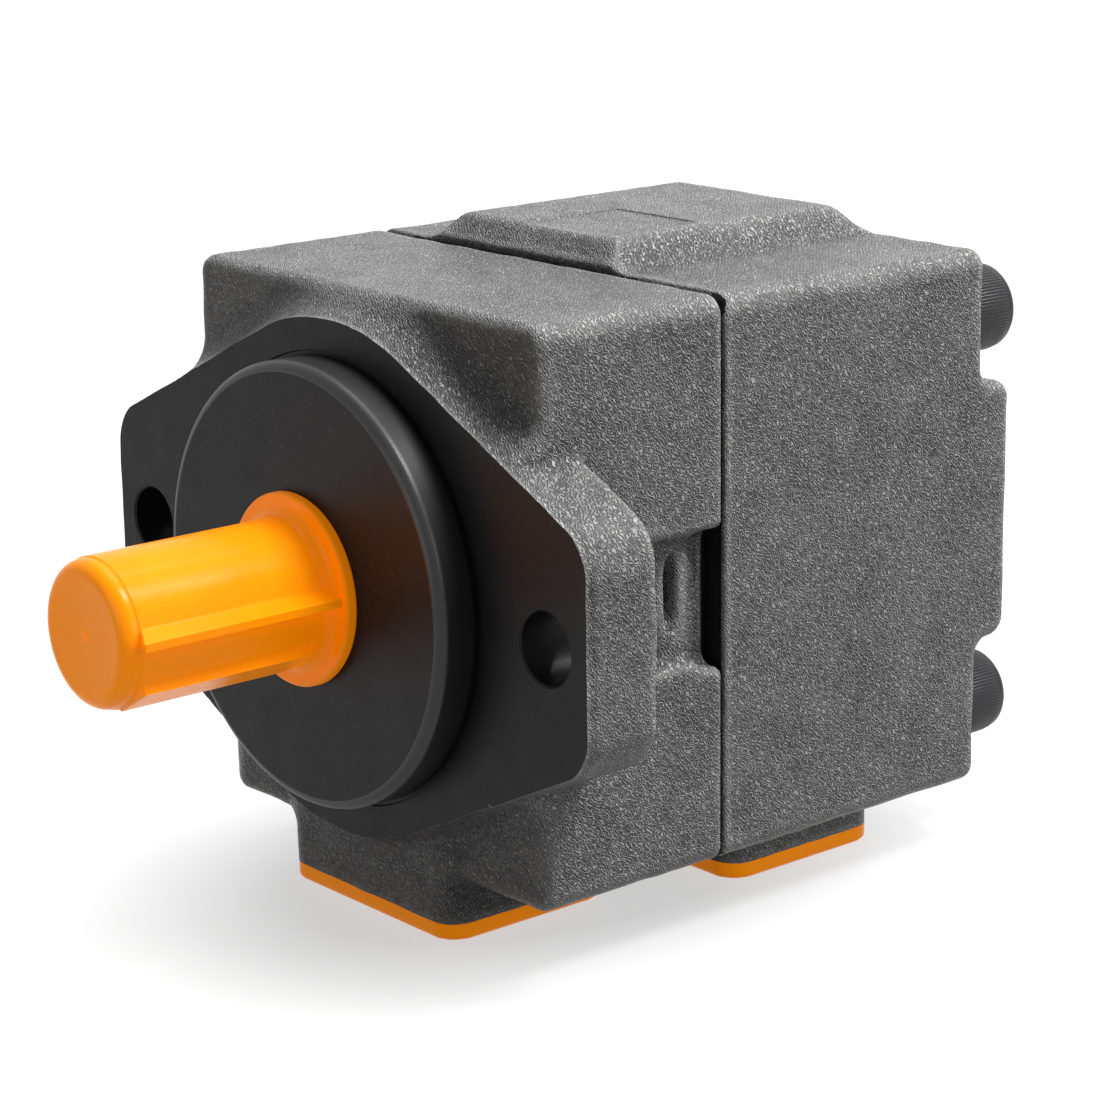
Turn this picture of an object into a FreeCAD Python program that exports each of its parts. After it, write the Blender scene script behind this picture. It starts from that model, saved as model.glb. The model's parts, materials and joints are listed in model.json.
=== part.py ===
import FreeCAD, Part
import math
import os
import re

import Sketcher
from FreeCAD import Placement, Rotation, Vector

# Hydraulic vane pump, foot-less two-bolt flange type.
# Row frame: the origin is the centre of the pilot at the mounting flange's face, on the shaft's axis.
# The shaft points to -Y, +X is to the right seen from the shaft's end, and +Z is up.
# Stations along the pump are distances behind the flange face, so the pilot and shaft are at negative ones.

SIZES = [
    ("pilot_radius", 50.8, "pilot that centres the pump in its mounting"),
    ("pilot_length", 10.0, "how far the pilot stands in front of the flange face"),
    ("pilot_chamfer", 1.6, "chamfer on the pilot's front rim"),
    ("flange_arc_radius", 60.0, "arc at the top and bottom of the flange"),
    ("ear_half_height", 24.4, "half height of an ear's end"),
    ("ear_thickness", 19.0, "flange face to the back of an ear"),
    ("ear_corner_radius", 7.0, "corner of an ear"),
    ("flange_flare", 7.0, "spread of the cast flare between flange and body"),
    ("bolt_offset", 73.0, "mounting hole to the shaft's axis"),
    ("ear_rim", 14.0, "mounting hole's middle to the ear's end"),
    ("bolt_hole_radius", 8.0, "mounting hole"),
    ("body_half_width", 62.5, "both castings"),
    ("body_half_height", 65.0, "both castings"),
    ("body_front", 8.5, "front face of the body casting"),
    ("split_station", 60.0, "joint face between body and cover"),
    ("cover_rear", 144.5, "rear face of the cover"),
    ("edge_radius", 5.0, "long cast edges"),
    ("rim_radius", 3.0, "cast edges round the front and rear faces"),
    ("split_gap", 1.2, "dark gap round the joint face"),
    ("split_land_inset", 4.0, "how far the joint land lies inside the outline"),
    ("left_bevel", 8.0, "bevel on the body's lower left front edge"),
    ("left_bevel_top", 16.0, "top of that bevel, below the axis"),
    ("pocket_depth", 6.0, "wrench pocket behind each ear, at the joint"),
    ("pocket_top", 13.0, "top of the wrench pocket"),
    ("pocket_bottom", 16.0, "bottom of the wrench pocket, below the axis"),
    ("rear_boss_top", 33.0, "top of the boss across the rear face"),
    ("rear_boss_bottom", 30.0, "bottom of the rear boss, below the axis"),
    ("rear_boss_depth", 9.7, "how far the rear boss stands behind the cover"),
    ("top_pad_left", 41.0, "top pad to the left of the axis"),
    ("top_pad_right", 25.0, "top pad to the right of the axis"),
    ("top_pad_front", 62.0, "front foot of the top pad"),
    ("top_pad_rear", 143.0, "rear foot of the top pad"),
    ("top_pad_height", 6.5, "top pad above the cover"),
    ("top_pad_slope", 6.0, "how far the pad's sides lean inward"),
    ("port_pad_depth", 11.2, "port pads below the castings"),
    ("port_pad_corner", 6.5, "corner of a port pad and its transport cap"),
    ("discharge_station", 30.25, "middle of the discharge port"),
    ("discharge_half_width", 31.0, "discharge pad"),
    ("discharge_half_length", 23.75, "discharge pad"),
    ("discharge_bore_radius", 10.0, "discharge port"),
    ("discharge_long_pitch", 47.6, "discharge port's tapped holes across the pump"),
    ("discharge_short_pitch", 22.2, "discharge port's tapped holes along the pump"),
    ("suction_station", 104.0, "middle of the suction port"),
    ("suction_half_width", 45.0, "suction pad"),
    ("suction_half_length", 24.0, "suction pad"),
    ("suction_bore_radius", 16.0, "suction port"),
    ("suction_long_pitch", 58.7, "suction port's tapped holes across the pump"),
    ("suction_short_pitch", 30.2, "suction port's tapped holes along the pump"),
    ("port_seat_depth", 6.2, "seat of the transport plug at the mouth of both ports"),
    ("port_seat_room", 1.5, "seat around the port, radial"),
    ("port_wall_length", 20.0, "machined wall of both ports, above the seat"),
    ("port_passage_room", 1.0, "cast passage around the port behind its wall, radial"),
    ("port_break_through", 2.0, "cast passage into its chamber"),
    ("port_thread_radius", 4.25, "tapped holes for the port flanges, core"),
    ("port_thread_depth", 20.0, "depth of the port's tapped holes"),
    ("port_cap_rim", 4.0, "thickness of a port's transport cap"),
    ("port_plug_length", 6.0, "plug of a port cap inside its seat"),
    ("port_plug_wall", 1.8, "wall of a port cap's plug"),
    ("port_plug_clearance", 0.1, "plug of a port cap in its seat, radial"),
    ("chamber_radius", 48.0, "main bore of both castings"),
    ("chamber_front", 26.0, "front wall of the discharge chamber"),
    ("suction_chamber_radius", 38.0, "suction chamber behind the cartridge"),
    ("suction_chamber_rear", 126.0, "rear wall of the suction chamber"),
    ("cover_screw_offset", 48.0, "cover screws to the axis, both ways"),
    ("cover_screw_radius", 7.0, "M14 shank"),
    ("cover_screw_hole_clearance", 0.5, "screw in the cover's through hole, radial"),
    ("cover_screw_head_radius", 10.5, "screw head"),
    ("cover_screw_head_height", 15.2, "screw head above the cover"),
    ("cover_screw_reach", 30.0, "thread in the body"),
    ("cover_thread_run_out", 3.0, "tapped hole in front of the screw's tip"),
    ("cover_screw_socket", 12.0, "hexagon socket, across flats"),
    ("cover_screw_socket_depth", 7.0, "hexagon socket"),
    ("screw_head_chamfer", 1.2, "rim of a screw head"),
    ("shaft_end_radius", 11.11, "keyed shaft end"),
    ("shaft_extension", 54.0, "shaft end in front of the pilot"),
    ("shaft_chamfer", 1.2, "rim of the shaft's end"),
    ("seal_journal_radius", 12.5, "shaft under the lip seal"),
    ("shaft_step_setback", 1.0, "keyed shaft end's step behind the pilot's front face"),
    ("key_width", 6.35, "shaft key"),
    ("key_height_above_axis", 13.99, "top of the key"),
    ("key_front_setback", 8.0, "key behind the shaft's end"),
    ("key_length", 32.0, "shaft key"),
    ("key_seat_depth", 3.2, "key seat below the shaft's surface"),
    ("key_end_flat", 0.1, "flat between the rounds at a key's end"),
    ("seal_outer_radius", 21.0, "lip seal in its bore"),
    ("seal_front_setback", 1.0, "seal behind the pilot's front face"),
    ("seal_width", 8.0, "lip seal"),
    ("seal_case_wall", 1.2, "metal case of the lip seal"),
    ("seal_lip_clearance", 0.1, "lip to shaft"),
    ("garter_wire_radius", 0.8, "garter spring's wire coil"),
    ("relief_radius", 18.8, "bore between seal and bearing"),
    ("bearing_front", 3.0, "front face of the ball bearing"),
    ("bearing_width", 16.0, "ball bearing"),
    ("bearing_bore_radius", 15.0, "ball bearing"),
    ("bearing_outer_radius", 31.0, "ball bearing"),
    ("bearing_race_wall", 4.6, "both races, from the bore or the outside"),
    ("ball_radius", 4.7, "bearing ball"),
    ("ball_groove_clearance", 0.25, "ball to groove"),
    ("ball_count", 8, "bearing balls"),
    ("cage_half_width", 6.2, "bearing cage"),
    ("cage_half_height", 1.3, "bearing cage"),
    ("cage_pocket_clearance", 0.15, "ball in its pocket"),
    ("snap_ring_width", 1.6, "both snap rings"),
    ("snap_ring_play", 0.1, "snap ring in its groove, each side"),
    ("shaft_ring_depth", 0.7, "shaft snap ring in its groove"),
    ("shaft_ring_height", 2.6, "shaft snap ring above the shaft"),
    ("bore_ring_depth", 1.2, "bore snap ring in its groove"),
    ("bore_ring_height", 2.4, "bore snap ring above the bore"),
    ("snap_ring_opening", 9.0, "gap between a snap ring's ends"),
    ("shaft_shoulder_radius", 18.0, "shoulder behind the bearing"),
    ("shaft_shoulder_length", 3.5, "shoulder behind the bearing"),
    ("shaft_body_radius", 14.0, "shaft through the front plate"),
    ("cartridge_front", 34.0, "front face of the cartridge"),
    ("front_plate_thickness", 12.0, "front side plate"),
    ("cam_ring_width", 40.0, "cam ring"),
    ("rear_plate_thickness", 12.0, "rear side plate"),
    ("cartridge_radius", 45.5, "cam ring and side plates"),
    ("plate_hub_front", 21.4, "front plate's hub, behind the bearing"),
    ("plate_hub_clearance", 0.1, "front plate's hub in its bore, radial"),
    ("plate_bore_clearance", 0.7, "front plate around the shaft, radial"),
    ("plate_seal_depth", 2.0, "seal groove in a plate's hub"),
    ("plate_seal_width", 2.6, "seal groove in a plate's hub"),
    ("rear_hub_length", 5.0, "rear plate's spigot in the suction chamber"),
    ("rear_hub_clearance", 0.1, "rear plate's spigot, radial"),
    ("port_window_inner", 31.2, "plate windows, inner edge"),
    ("port_window_outer", 35.0, "plate windows, outer edge"),
    ("port_window_angle", 44.0, "plate windows, in degrees"),
    ("rotor_radius", 30.0, "rotor"),
    ("rotor_side_clearance", 0.05, "rotor to each side plate"),
    ("spline_count", 6, "splines between shaft and rotor"),
    ("spline_root_radius", 10.5, "spline root"),
    ("spline_tip_radius", 12.2, "spline tip"),
    ("spline_width", 5.0, "spline"),
    ("spline_clearance", 0.05, "spline, all round"),
    ("vane_count", 12, "vanes"),
    ("vane_thickness", 2.0, "vane"),
    ("vane_height", 13.0, "vane, root to tip"),
    ("vane_slot_clearance", 0.05, "vane in its slot, each side"),
    ("vane_root_clearance", 0.5, "vane above the slot's floor at rest"),
    ("vane_tip_chamfer", 0.6, "vane tip"),
    ("slot_bulb_radius", 1.7, "round relief at the slot's floor"),
    ("vane_tip_rest", 30.7, "vane tip at rest"),
    ("cam_minor_radius", 31.0, "cam contour, smallest"),
    ("cam_major_radius", 34.5, "cam contour, largest"),
    ("cam_phase", 15.0, "contour's small axis, in degrees off the vertical"),
    ("bush_wall", 2.0, "bush in the rear plate"),
    ("bush_clearance", 0.04, "shaft tail in its bush, radial"),
    ("shaft_tail_radius", 9.5, "shaft tail in the bush"),
    ("shaft_tail_chamfer", 1.0, "rim of the shaft's tail"),
    ("fastener_circle", 40.5, "cartridge screws and dowels"),
    ("cartridge_screw_radius", 2.5, "M5 shank"),
    ("cartridge_head_radius", 4.25, "M5 head"),
    ("cartridge_head_height", 5.0, "M5 head, flush in the rear plate"),
    ("fastener_clearance", 0.2, "cartridge screws in their holes, radial"),
    ("cartridge_thread_reach", 8.0, "cartridge screws in the front plate"),
    ("cartridge_thread_run_out", 1.0, "tapped hole in front of a cartridge screw's tip"),
    ("dowel_radius", 2.5, "cartridge dowel"),
    ("dowel_reach", 7.0, "dowel in each side plate"),
    ("o_ring_radius", 51.0, "middle of the body O-ring"),
    ("o_ring_cord", 1.2, "O-ring cord, radius"),
    ("o_ring_room", 0.2, "groove around the O-ring cord"),
    ("cap_sleeve_radius", 16.7, "shaft cap's sleeve"),
    ("cap_wall", 2.1, "shaft cap's sleeve wall"),
    ("cap_end_wall", 1.9, "shaft cap's closed end"),
    ("cap_end_room", 0.1, "shaft cap's end in front of the shaft"),
    ("cap_end_round", 2.0, "rounding of the shaft cap's end"),
    ("cap_flange_radius", 22.0, "shaft cap's flange"),
    ("cap_flange_thickness", 2.6, "shaft cap's flange"),
    ("cap_flange_room", 0.15, "shaft cap's flange in front of the pilot"),
    ("cap_flange_fillet", 2.5, "sleeve to flange on the shaft cap"),
    ("cap_fin_reach", 21.0, "side fin's edge from the axis"),
    ("cap_fin_thickness", 2.2, "side fin"),
    ("cap_fin_height", 0.6, "side fin's underside above the axis"),
    ("cap_ridge_radius", 19.0, "lower ridge's edge from the axis"),
    ("cap_ridge_angle", 33.0, "lower ridge's edge, degrees below the horizontal"),
    ("cap_ridge_top_angle", 4.0, "lower ridge's upper face, in degrees"),
    ("cap_ridge_foot_radius", 18.2, "lower ridge's foot from the axis"),
    ("cap_ridge_foot_angle", 74.0, "lower ridge's foot, degrees below the horizontal"),
    ("overcut", 1.0, "how far a cut starts outside the metal"),
]
SIZE_NAMES = {name for name, number, words in SIZES}

# Places that several pieces share, worked out from the sizes
CAM_FRONT = "(cartridge_front + front_plate_thickness)"
CAM_REAR = f"({CAM_FRONT} + cam_ring_width)"
CARTRIDGE_REAR = f"({CAM_REAR} + rear_plate_thickness)"
BEARING_REAR = "(bearing_front + bearing_width)"
BEARING_MIDDLE = "(bearing_front + bearing_width / 2)"
BALL_PITCH_RADIUS = "((bearing_bore_radius + bearing_outer_radius) / 2)"
EAR_REACH = "(bolt_offset + ear_rim)"
PILOT_FRONT = "(-pilot_length)"
SHAFT_FRONT = "(-pilot_length - shaft_extension)"
SEAL_FRONT = "(seal_front_setback - pilot_length)"
SEAL_REAR = f"({SEAL_FRONT} + seal_width)"
PAD_FLOOR = "(-body_half_height - port_pad_depth)"
PORT_CAP_FLOOR = f"({PAD_FLOOR} - port_cap_rim)"
SCREW_HOLE_RADIUS = "(cover_screw_radius + cover_screw_hole_clearance)"
PLATE_HUB_RADIUS = "(bearing_outer_radius - plate_hub_clearance)"
REAR_HUB_RADIUS = "(suction_chamber_radius - rear_hub_clearance)"
BUSH_BORE = "(shaft_tail_radius + bush_clearance)"
BUSH_RADIUS = f"({BUSH_BORE} + bush_wall)"
FASTENER_HOLE = "(cartridge_screw_radius + fastener_clearance)"
CAP_BORE = "(cap_sleeve_radius - cap_wall)"
CAP_SHAFT_END = f"({SHAFT_FRONT} - cap_end_room)"
CAP_FRONT = f"({CAP_SHAFT_END} - cap_end_wall)"
CAP_REAR = "(-pilot_length - cap_flange_room)"
VANE_ROOT = "(vane_tip_rest - vane_height)"

# Angles of a tangent from an ear's corner to the flange's arc
EAR_CORNER_ANGLE = f"atan2(ear_half_height; {EAR_REACH})"
EAR_CORNER_REACH = f"hypot(ear_half_height; {EAR_REACH})"
TANGENT_ANGLE = f"({EAR_CORNER_ANGLE} + acos(flange_arc_radius / {EAR_CORNER_REACH}))"

# Degrees between the cam contour's points
CAM_STEP = 10

# A sketch's normal along the row axis that its plane faces
NORMALS = {"XY_Plane": 1, "XZ_Plane": -1, "YZ_Plane": 1}

doc = FreeCAD.newDocument("vane_pump")
sheet = doc.addObject("Spreadsheet::Sheet", "Sizes")
finished = []


def fill_sheet():
    """One row per size: its words, its number and its name."""
    for row, (name, number, words) in enumerate(SIZES, start=1):
        sheet.set(f"A{row}", words)
        sheet.set(f"B{row}", str(number))
        sheet.setAlias(f"B{row}", name)
    doc.recompute()


def linked(text):
    """The expression with each size's name pointed at its cell."""
    return re.sub(r"[a-z]\w+", lambda word: prefixed(word.group()), str(text))


def prefixed(word):
    return f"Sizes.{word}" if word in SIZE_NAMES else word


def value(text):
    """The number that an expression has now."""
    return float(sheet.evalExpression(linked(text)))


def bind(thing, attribute, text):
    thing.setExpression(attribute, linked(text))


def origin_part(body, role):
    return next(part for part in body.Origin.OriginFeatures if part.Role == role)


def start_body(label):
    body = doc.addObject("PartDesign::Body", label)
    body.Label = label
    finished.append(body)
    return body


def new_sketch(body, name, role, height="0"):
    """A sketch on one of the body's own planes, moved along the row axis that the plane faces."""
    sketch = body.newObject("Sketcher::SketchObject", name)
    sketch.AttachmentSupport = (origin_part(body, role), [""])
    sketch.MapMode = "FlatFace"
    bind(sketch, ".AttachmentOffset.Base.z", f"{NORMALS[role]} * ({height})")
    return sketch


def pin_point(sketch, geometry, position, corner):
    """Holds one point of the sketch at a corner given as two expressions."""
    for kind, text in zip(("DistanceX", "DistanceY"), corner):
        rule = Sketcher.Constraint(kind, -1, 1, geometry, position, value(text))
        bind(sketch, f"Constraints[{sketch.addConstraint(rule)}]", text)


def polygon(sketch, corners):
    points = [Vector(value(across), value(up), 0) for across, up in corners]
    first = sketch.GeometryCount
    count = len(corners)
    for index in range(count):
        sketch.addGeometry(Part.LineSegment(points[index], points[(index + 1) % count]))
    for index in range(count):
        following = first + (index + 1) % count
        sketch.addConstraint(Sketcher.Constraint("Coincident", first + index, 2, following, 1))
    for index, corner in enumerate(corners):
        pin_point(sketch, first + index, 1, corner)


def rectangle(sketch, left, right, bottom, top):
    polygon(sketch, [(left, bottom), (right, bottom), (right, top), (left, top)])


def circle(sketch, centre, radius):
    middle = Vector(value(centre[0]), value(centre[1]), 0)
    shape = Part.Circle(middle, Vector(0, 0, 1), value(radius))
    index = sketch.addGeometry(shape)
    pin_point(sketch, index, 3, centre)
    rule = sketch.addConstraint(Sketcher.Constraint("Radius", index, value(radius)))
    bind(sketch, f"Constraints[{rule}]", radius)


def four_circles(sketch, centre, half_across, half_up, radius):
    for side in (-1, 1):
        for level in (-1, 1):
            place = (f"({centre[0]}) + {side} * ({half_across})", f"({centre[1]}) + {level} * ({half_up})")
            circle(sketch, place, radius)


def pair_of_circles(sketch, across, up, radius):
    """Two equal circles, opposite each other about the shaft's axis."""
    for side in (-1, 1):
        circle(sketch, (f"{side} * {across}", f"{side} * {up}"), radius)


def extruded(body, name, role, low, high, draw, cut=False):
    """A pad, or a pocket, of one drawing from low to high along the row axis that its plane faces."""
    sketch = new_sketch(body, name, role, low)
    draw(sketch)
    kind, ending = ("Pocket", "cut") if cut else ("Pad", "pad")
    feature = body.newObject(f"PartDesign::{kind}", f"{name}_{ending}")
    feature.Profile = sketch
    bind(feature, "Length", f"({high}) - ({low})")
    feature.Reversed = (NORMALS[role] < 0) != cut
    body.Tip = feature
    return feature


def turned(body, name, draw, cut=False, angle="360"):
    """A drawing of stations and radii, revolved about the shaft's axis."""
    sketch = new_sketch(body, name, "YZ_Plane")
    draw(sketch)
    feature = body.newObject("PartDesign::Groove" if cut else "PartDesign::Revolution", f"{name}_turned")
    feature.Profile = sketch
    feature.ReferenceAxis = (origin_part(body, "Y_Axis"), [""])
    bind(feature, "Angle", angle)
    body.Tip = feature
    return feature


def repeated(body, feature, count, angle="360"):
    """Copies of a feature, evenly round the shaft's axis."""
    doc.recompute()
    pattern = body.newObject("PartDesign::PolarPattern", f"{feature.Name}_round")
    pattern.Originals = [feature]
    pattern.Axis = (origin_part(body, "Y_Axis"), [""])
    bind(pattern, "Angle", angle)
    bind(pattern, "Occurrences", count)
    body.Tip = pattern
    return pattern


def rounded(body, name, radius, chosen, kind="Fillet"):
    """Rounds, or chamfers, the edges for which chosen(edge) is true."""
    doc.recompute()
    base = body.Tip
    names = [f"Edge{index}" for index, edge in enumerate(base.Shape.Edges, start=1) if chosen(edge)]
    if not names:
        raise ValueError(f"{name} finds no edge")
    feature = body.newObject(f"PartDesign::{kind}", name)
    feature.Base = (base, names)
    bind(feature, "Radius" if kind == "Fillet" else "Size", radius)
    body.Tip = feature
    return feature


def straight(edge, axis):
    """Whether a straight edge runs along the row axis numbered 0, 1 or 2."""
    if not isinstance(edge.Curve, Part.Line):
        return False
    return abs(abs(edge.Curve.Direction[axis]) - 1) < 1e-6


def near(number, target, slack=0.01):
    return abs(number - target) < slack


def lies_at(edge, axis, place):
    """Whether all of an edge has one coordinate."""
    box = edge.BoundBox
    low = (box.XMin, box.YMin, box.ZMin)[axis]
    high = (box.XMax, box.YMax, box.ZMax)[axis]
    return near(low, place) and near(high, place)


def computed(label, shape):
    """A piece whose shape is worked out from the sheet by a formula or from a shared shape."""
    piece = doc.addObject("Part::Feature", label)
    piece.Label = label
    piece.Shape = shape
    piece.Placement = Placement()
    finished.append(piece)
    return piece


def ring_profile(front, rear, inner, outer):
    return [(front, inner), (rear, inner), (rear, outer), (front, outer)]


def section_polygon(corners):
    """A drawing that is one polygon."""
    return lambda sketch: polygon(sketch, corners)


def mirrored_both_ways(quarter):
    """An outline from the corners of its upper right quarter."""
    left_top = [(f"-({x})", z) for x, z in reversed(quarter)]
    left_bottom = [(f"-({x})", f"-({z})") for x, z in quarter]
    right_bottom = [(x, f"-({z})") for x, z in reversed(quarter)]
    return quarter + left_top + left_bottom + right_bottom


# Where the flange's straight slope leaves the arc, and where it crosses the body's side
SLOPE_X = f"(flange_arc_radius * cos({TANGENT_ANGLE}))"
SLOPE_Z = f"(flange_arc_radius * sin({TANGENT_ANGLE}))"
SLOPE_RUN = f"({EAR_REACH} - {SLOPE_X})"
SIDE_Z = f"(ear_half_height + ({SLOPE_Z} - ear_half_height) * ({EAR_REACH} - body_half_width) / {SLOPE_RUN})"


def flange_outline():
    """Eight corners of the flange between its arcs."""
    return mirrored_both_ways([(EAR_REACH, "ear_half_height"), (SLOPE_X, SLOPE_Z)])


def flare_outline(spread):
    """Eight corners of the flare, between the body's sides. The spread widens it along the slopes' normals."""
    inner_corner = (f"{SLOPE_X} + ({spread}) * cos({TANGENT_ANGLE})",
                    f"{SLOPE_Z} + ({spread}) * sin({TANGENT_ANGLE})")
    side_corner = ("body_half_width", f"{SIDE_Z} + ({spread}) / sin({TANGENT_ANGLE})")
    return mirrored_both_ways([side_corner, inner_corner])


# Body casting: flange, pilot, discharge port, bearing and seal bores
def make_front_body():
    body = start_body("front_body")
    extruded(body, "front_block", "XZ_Plane", "body_front", "split_station",
             lambda sketch: rectangle(sketch, "-body_half_width", "body_half_width",
                                      "-body_half_height", "body_half_height"))
    rounded(body, "front_long_edges", "edge_radius", lambda edge: straight(edge, 1))
    rounded(body, "front_rim", "rim_radius", lambda edge: lies_at(edge, 1, value("body_front")))
    extruded(body, "left_front_bevel", "XY_Plane", "-body_half_height - overcut", "-left_bevel_top",
             section_polygon([
                 ("-body_half_width - overcut", "body_front - overcut"),
                 ("-body_half_width + left_bevel + overcut", "body_front - overcut"),
                 ("-body_half_width - overcut", "body_front + left_bevel + overcut")]), cut=True)
    extruded(body, "flange_plate", "XZ_Plane", "0", "ear_thickness", section_polygon(flange_outline()))
    corner = (value(EAR_REACH), value("ear_half_height"))
    rounded(body, "ear_corners", "ear_corner_radius",
            lambda edge: straight(edge, 1)
            and near(abs(edge.Vertexes[0].X), corner[0])
            and near(abs(edge.Vertexes[0].Z), corner[1]))
    make_flare(body)
    extruded(body, "flange_disc", "XZ_Plane", "0", "ear_thickness",
             lambda sketch: circle(sketch, ("0", "0"), "flange_arc_radius"))
    turned(body, "pilot", section_polygon([
        ("0", "0"), ("0", "pilot_radius"), (f"{PILOT_FRONT} + pilot_chamfer", "pilot_radius"),
        (PILOT_FRONT, "pilot_radius - pilot_chamfer"), (PILOT_FRONT, "0")]))
    add_port_pad(body, "discharge", "discharge_station", "discharge_half_width", "discharge_half_length")
    for side in (-1, 1):
        add_wrench_pocket(body, side)
    extruded(body, "mounting_holes", "XZ_Plane", "-overcut", "ear_thickness + overcut",
             lambda sketch: pair_of_circles(sketch, "bolt_offset", "0", "bolt_hole_radius"), cut=True)
    ring_groove_rear = f"{BEARING_REAR} + snap_ring_width + 2 * snap_ring_play"
    turned(body, "body_bores", section_polygon([
        (f"{PILOT_FRONT} - overcut", "0"), (f"{PILOT_FRONT} - overcut", "seal_outer_radius"),
        (SEAL_REAR, "seal_outer_radius"), (SEAL_REAR, "relief_radius"),
        ("bearing_front", "relief_radius"), ("bearing_front", "bearing_outer_radius"),
        (BEARING_REAR, "bearing_outer_radius"),
        (BEARING_REAR, "bearing_outer_radius + bore_ring_depth"),
        (ring_groove_rear, "bearing_outer_radius + bore_ring_depth"),
        (ring_groove_rear, "bearing_outer_radius"),
        ("chamber_front", "bearing_outer_radius"), ("chamber_front", "chamber_radius"),
        ("split_station + overcut", "chamber_radius"), ("split_station + overcut", "0")]), cut=True)
    groove = "o_ring_cord + o_ring_room"
    turned(body, "o_ring_groove", section_polygon(ring_profile(
        f"split_station - 2 * ({groove}) + o_ring_room", "split_station + overcut",
        f"o_ring_radius - ({groove})", f"o_ring_radius + ({groove})")), cut=True)
    add_port_bores(body, "discharge", "chamber_radius")
    extruded(body, "cover_screw_threads", "XZ_Plane",
             "split_station - cover_screw_reach - cover_thread_run_out", "split_station + overcut",
             lambda sketch: four_circles(sketch, ("0", "0"), "cover_screw_offset", "cover_screw_offset",
                                         "cover_screw_radius"), cut=True)
    return body


def make_flare(body):
    """The cast flare that widens from the flange's edge to the body's front face."""
    front = new_sketch(body, "flare_front", "XZ_Plane", "0")
    polygon(front, flare_outline("0"))
    rear = new_sketch(body, "flare_rear", "XZ_Plane", "body_front + rim_radius")
    polygon(rear, flare_outline("flange_flare"))
    loft = body.newObject("PartDesign::AdditiveLoft", "flare")
    loft.Profile = front
    loft.Sections = [(rear, [""])]
    loft.Ruled = True
    body.Tip = loft
    return loft


def add_port_pad(body, name, station, half_width, half_length):
    """A pad below a casting, with rounded corners."""
    extruded(body, f"{name}_pad", "XY_Plane", PAD_FLOOR, "-body_half_height + edge_radius",
             lambda sketch: rectangle(sketch, f"-{half_width}", half_width,
                                      f"{station} - {half_length}", f"{station} + {half_length}"))
    floor = value(PAD_FLOOR)
    rounded(body, f"{name}_pad_corners", "port_pad_corner",
            lambda edge: straight(edge, 2) and near(edge.BoundBox.ZMin, floor))


def add_port_bores(body, name, chamber):
    """The port, its plug's seat, its wider cast passage into the chamber, and its four tapped holes."""
    seat_top = f"({PAD_FLOOR} + port_seat_depth)"
    wall_top = f"{seat_top} + port_wall_length"
    passage = f"({name}_bore_radius + port_passage_room)"
    extruded(body, f"{name}_seat", "XY_Plane", f"{PAD_FLOOR} - overcut", seat_top,
             lambda sketch: circle(sketch, ("0", f"{name}_station"), f"{name}_bore_radius + port_seat_room"),
             cut=True)
    extruded(body, f"{name}_port", "XY_Plane", f"{PAD_FLOOR} - overcut", wall_top,
             lambda sketch: circle(sketch, ("0", f"{name}_station"), f"{name}_bore_radius"), cut=True)
    extruded(body, f"{name}_passage", "XY_Plane", wall_top,
             f"port_break_through - sqrt({chamber} ^ 2 - {passage} ^ 2)",
             lambda sketch: circle(sketch, ("0", f"{name}_station"), passage), cut=True)
    extruded(body, f"{name}_threads", "XY_Plane", f"{PAD_FLOOR} - overcut", f"{PAD_FLOOR} + port_thread_depth",
             lambda sketch: four_circles(sketch, ("0", f"{name}_station"), f"{name}_long_pitch / 2",
                                         f"{name}_short_pitch / 2", "port_thread_radius"), cut=True)


def add_wrench_pocket(body, side):
    """Room for a nut and wrench behind an ear, deeper towards the joint face."""
    name = "right" if side > 0 else "left"
    outside = f"{side} * (body_half_width + overcut)"
    extruded(body, f"{name}_pocket", "XY_Plane", "-pocket_bottom", "pocket_top",
             section_polygon([
                 (outside, "ear_thickness"),
                 (f"{side} * (body_half_width - pocket_depth / 2)", "ear_thickness"),
                 (f"{side} * (body_half_width - pocket_depth)", "(ear_thickness + split_station) / 2"),
                 (f"{side} * (body_half_width - pocket_depth)", "split_station + overcut"),
                 (outside, "split_station + overcut")]), cut=True)


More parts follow.
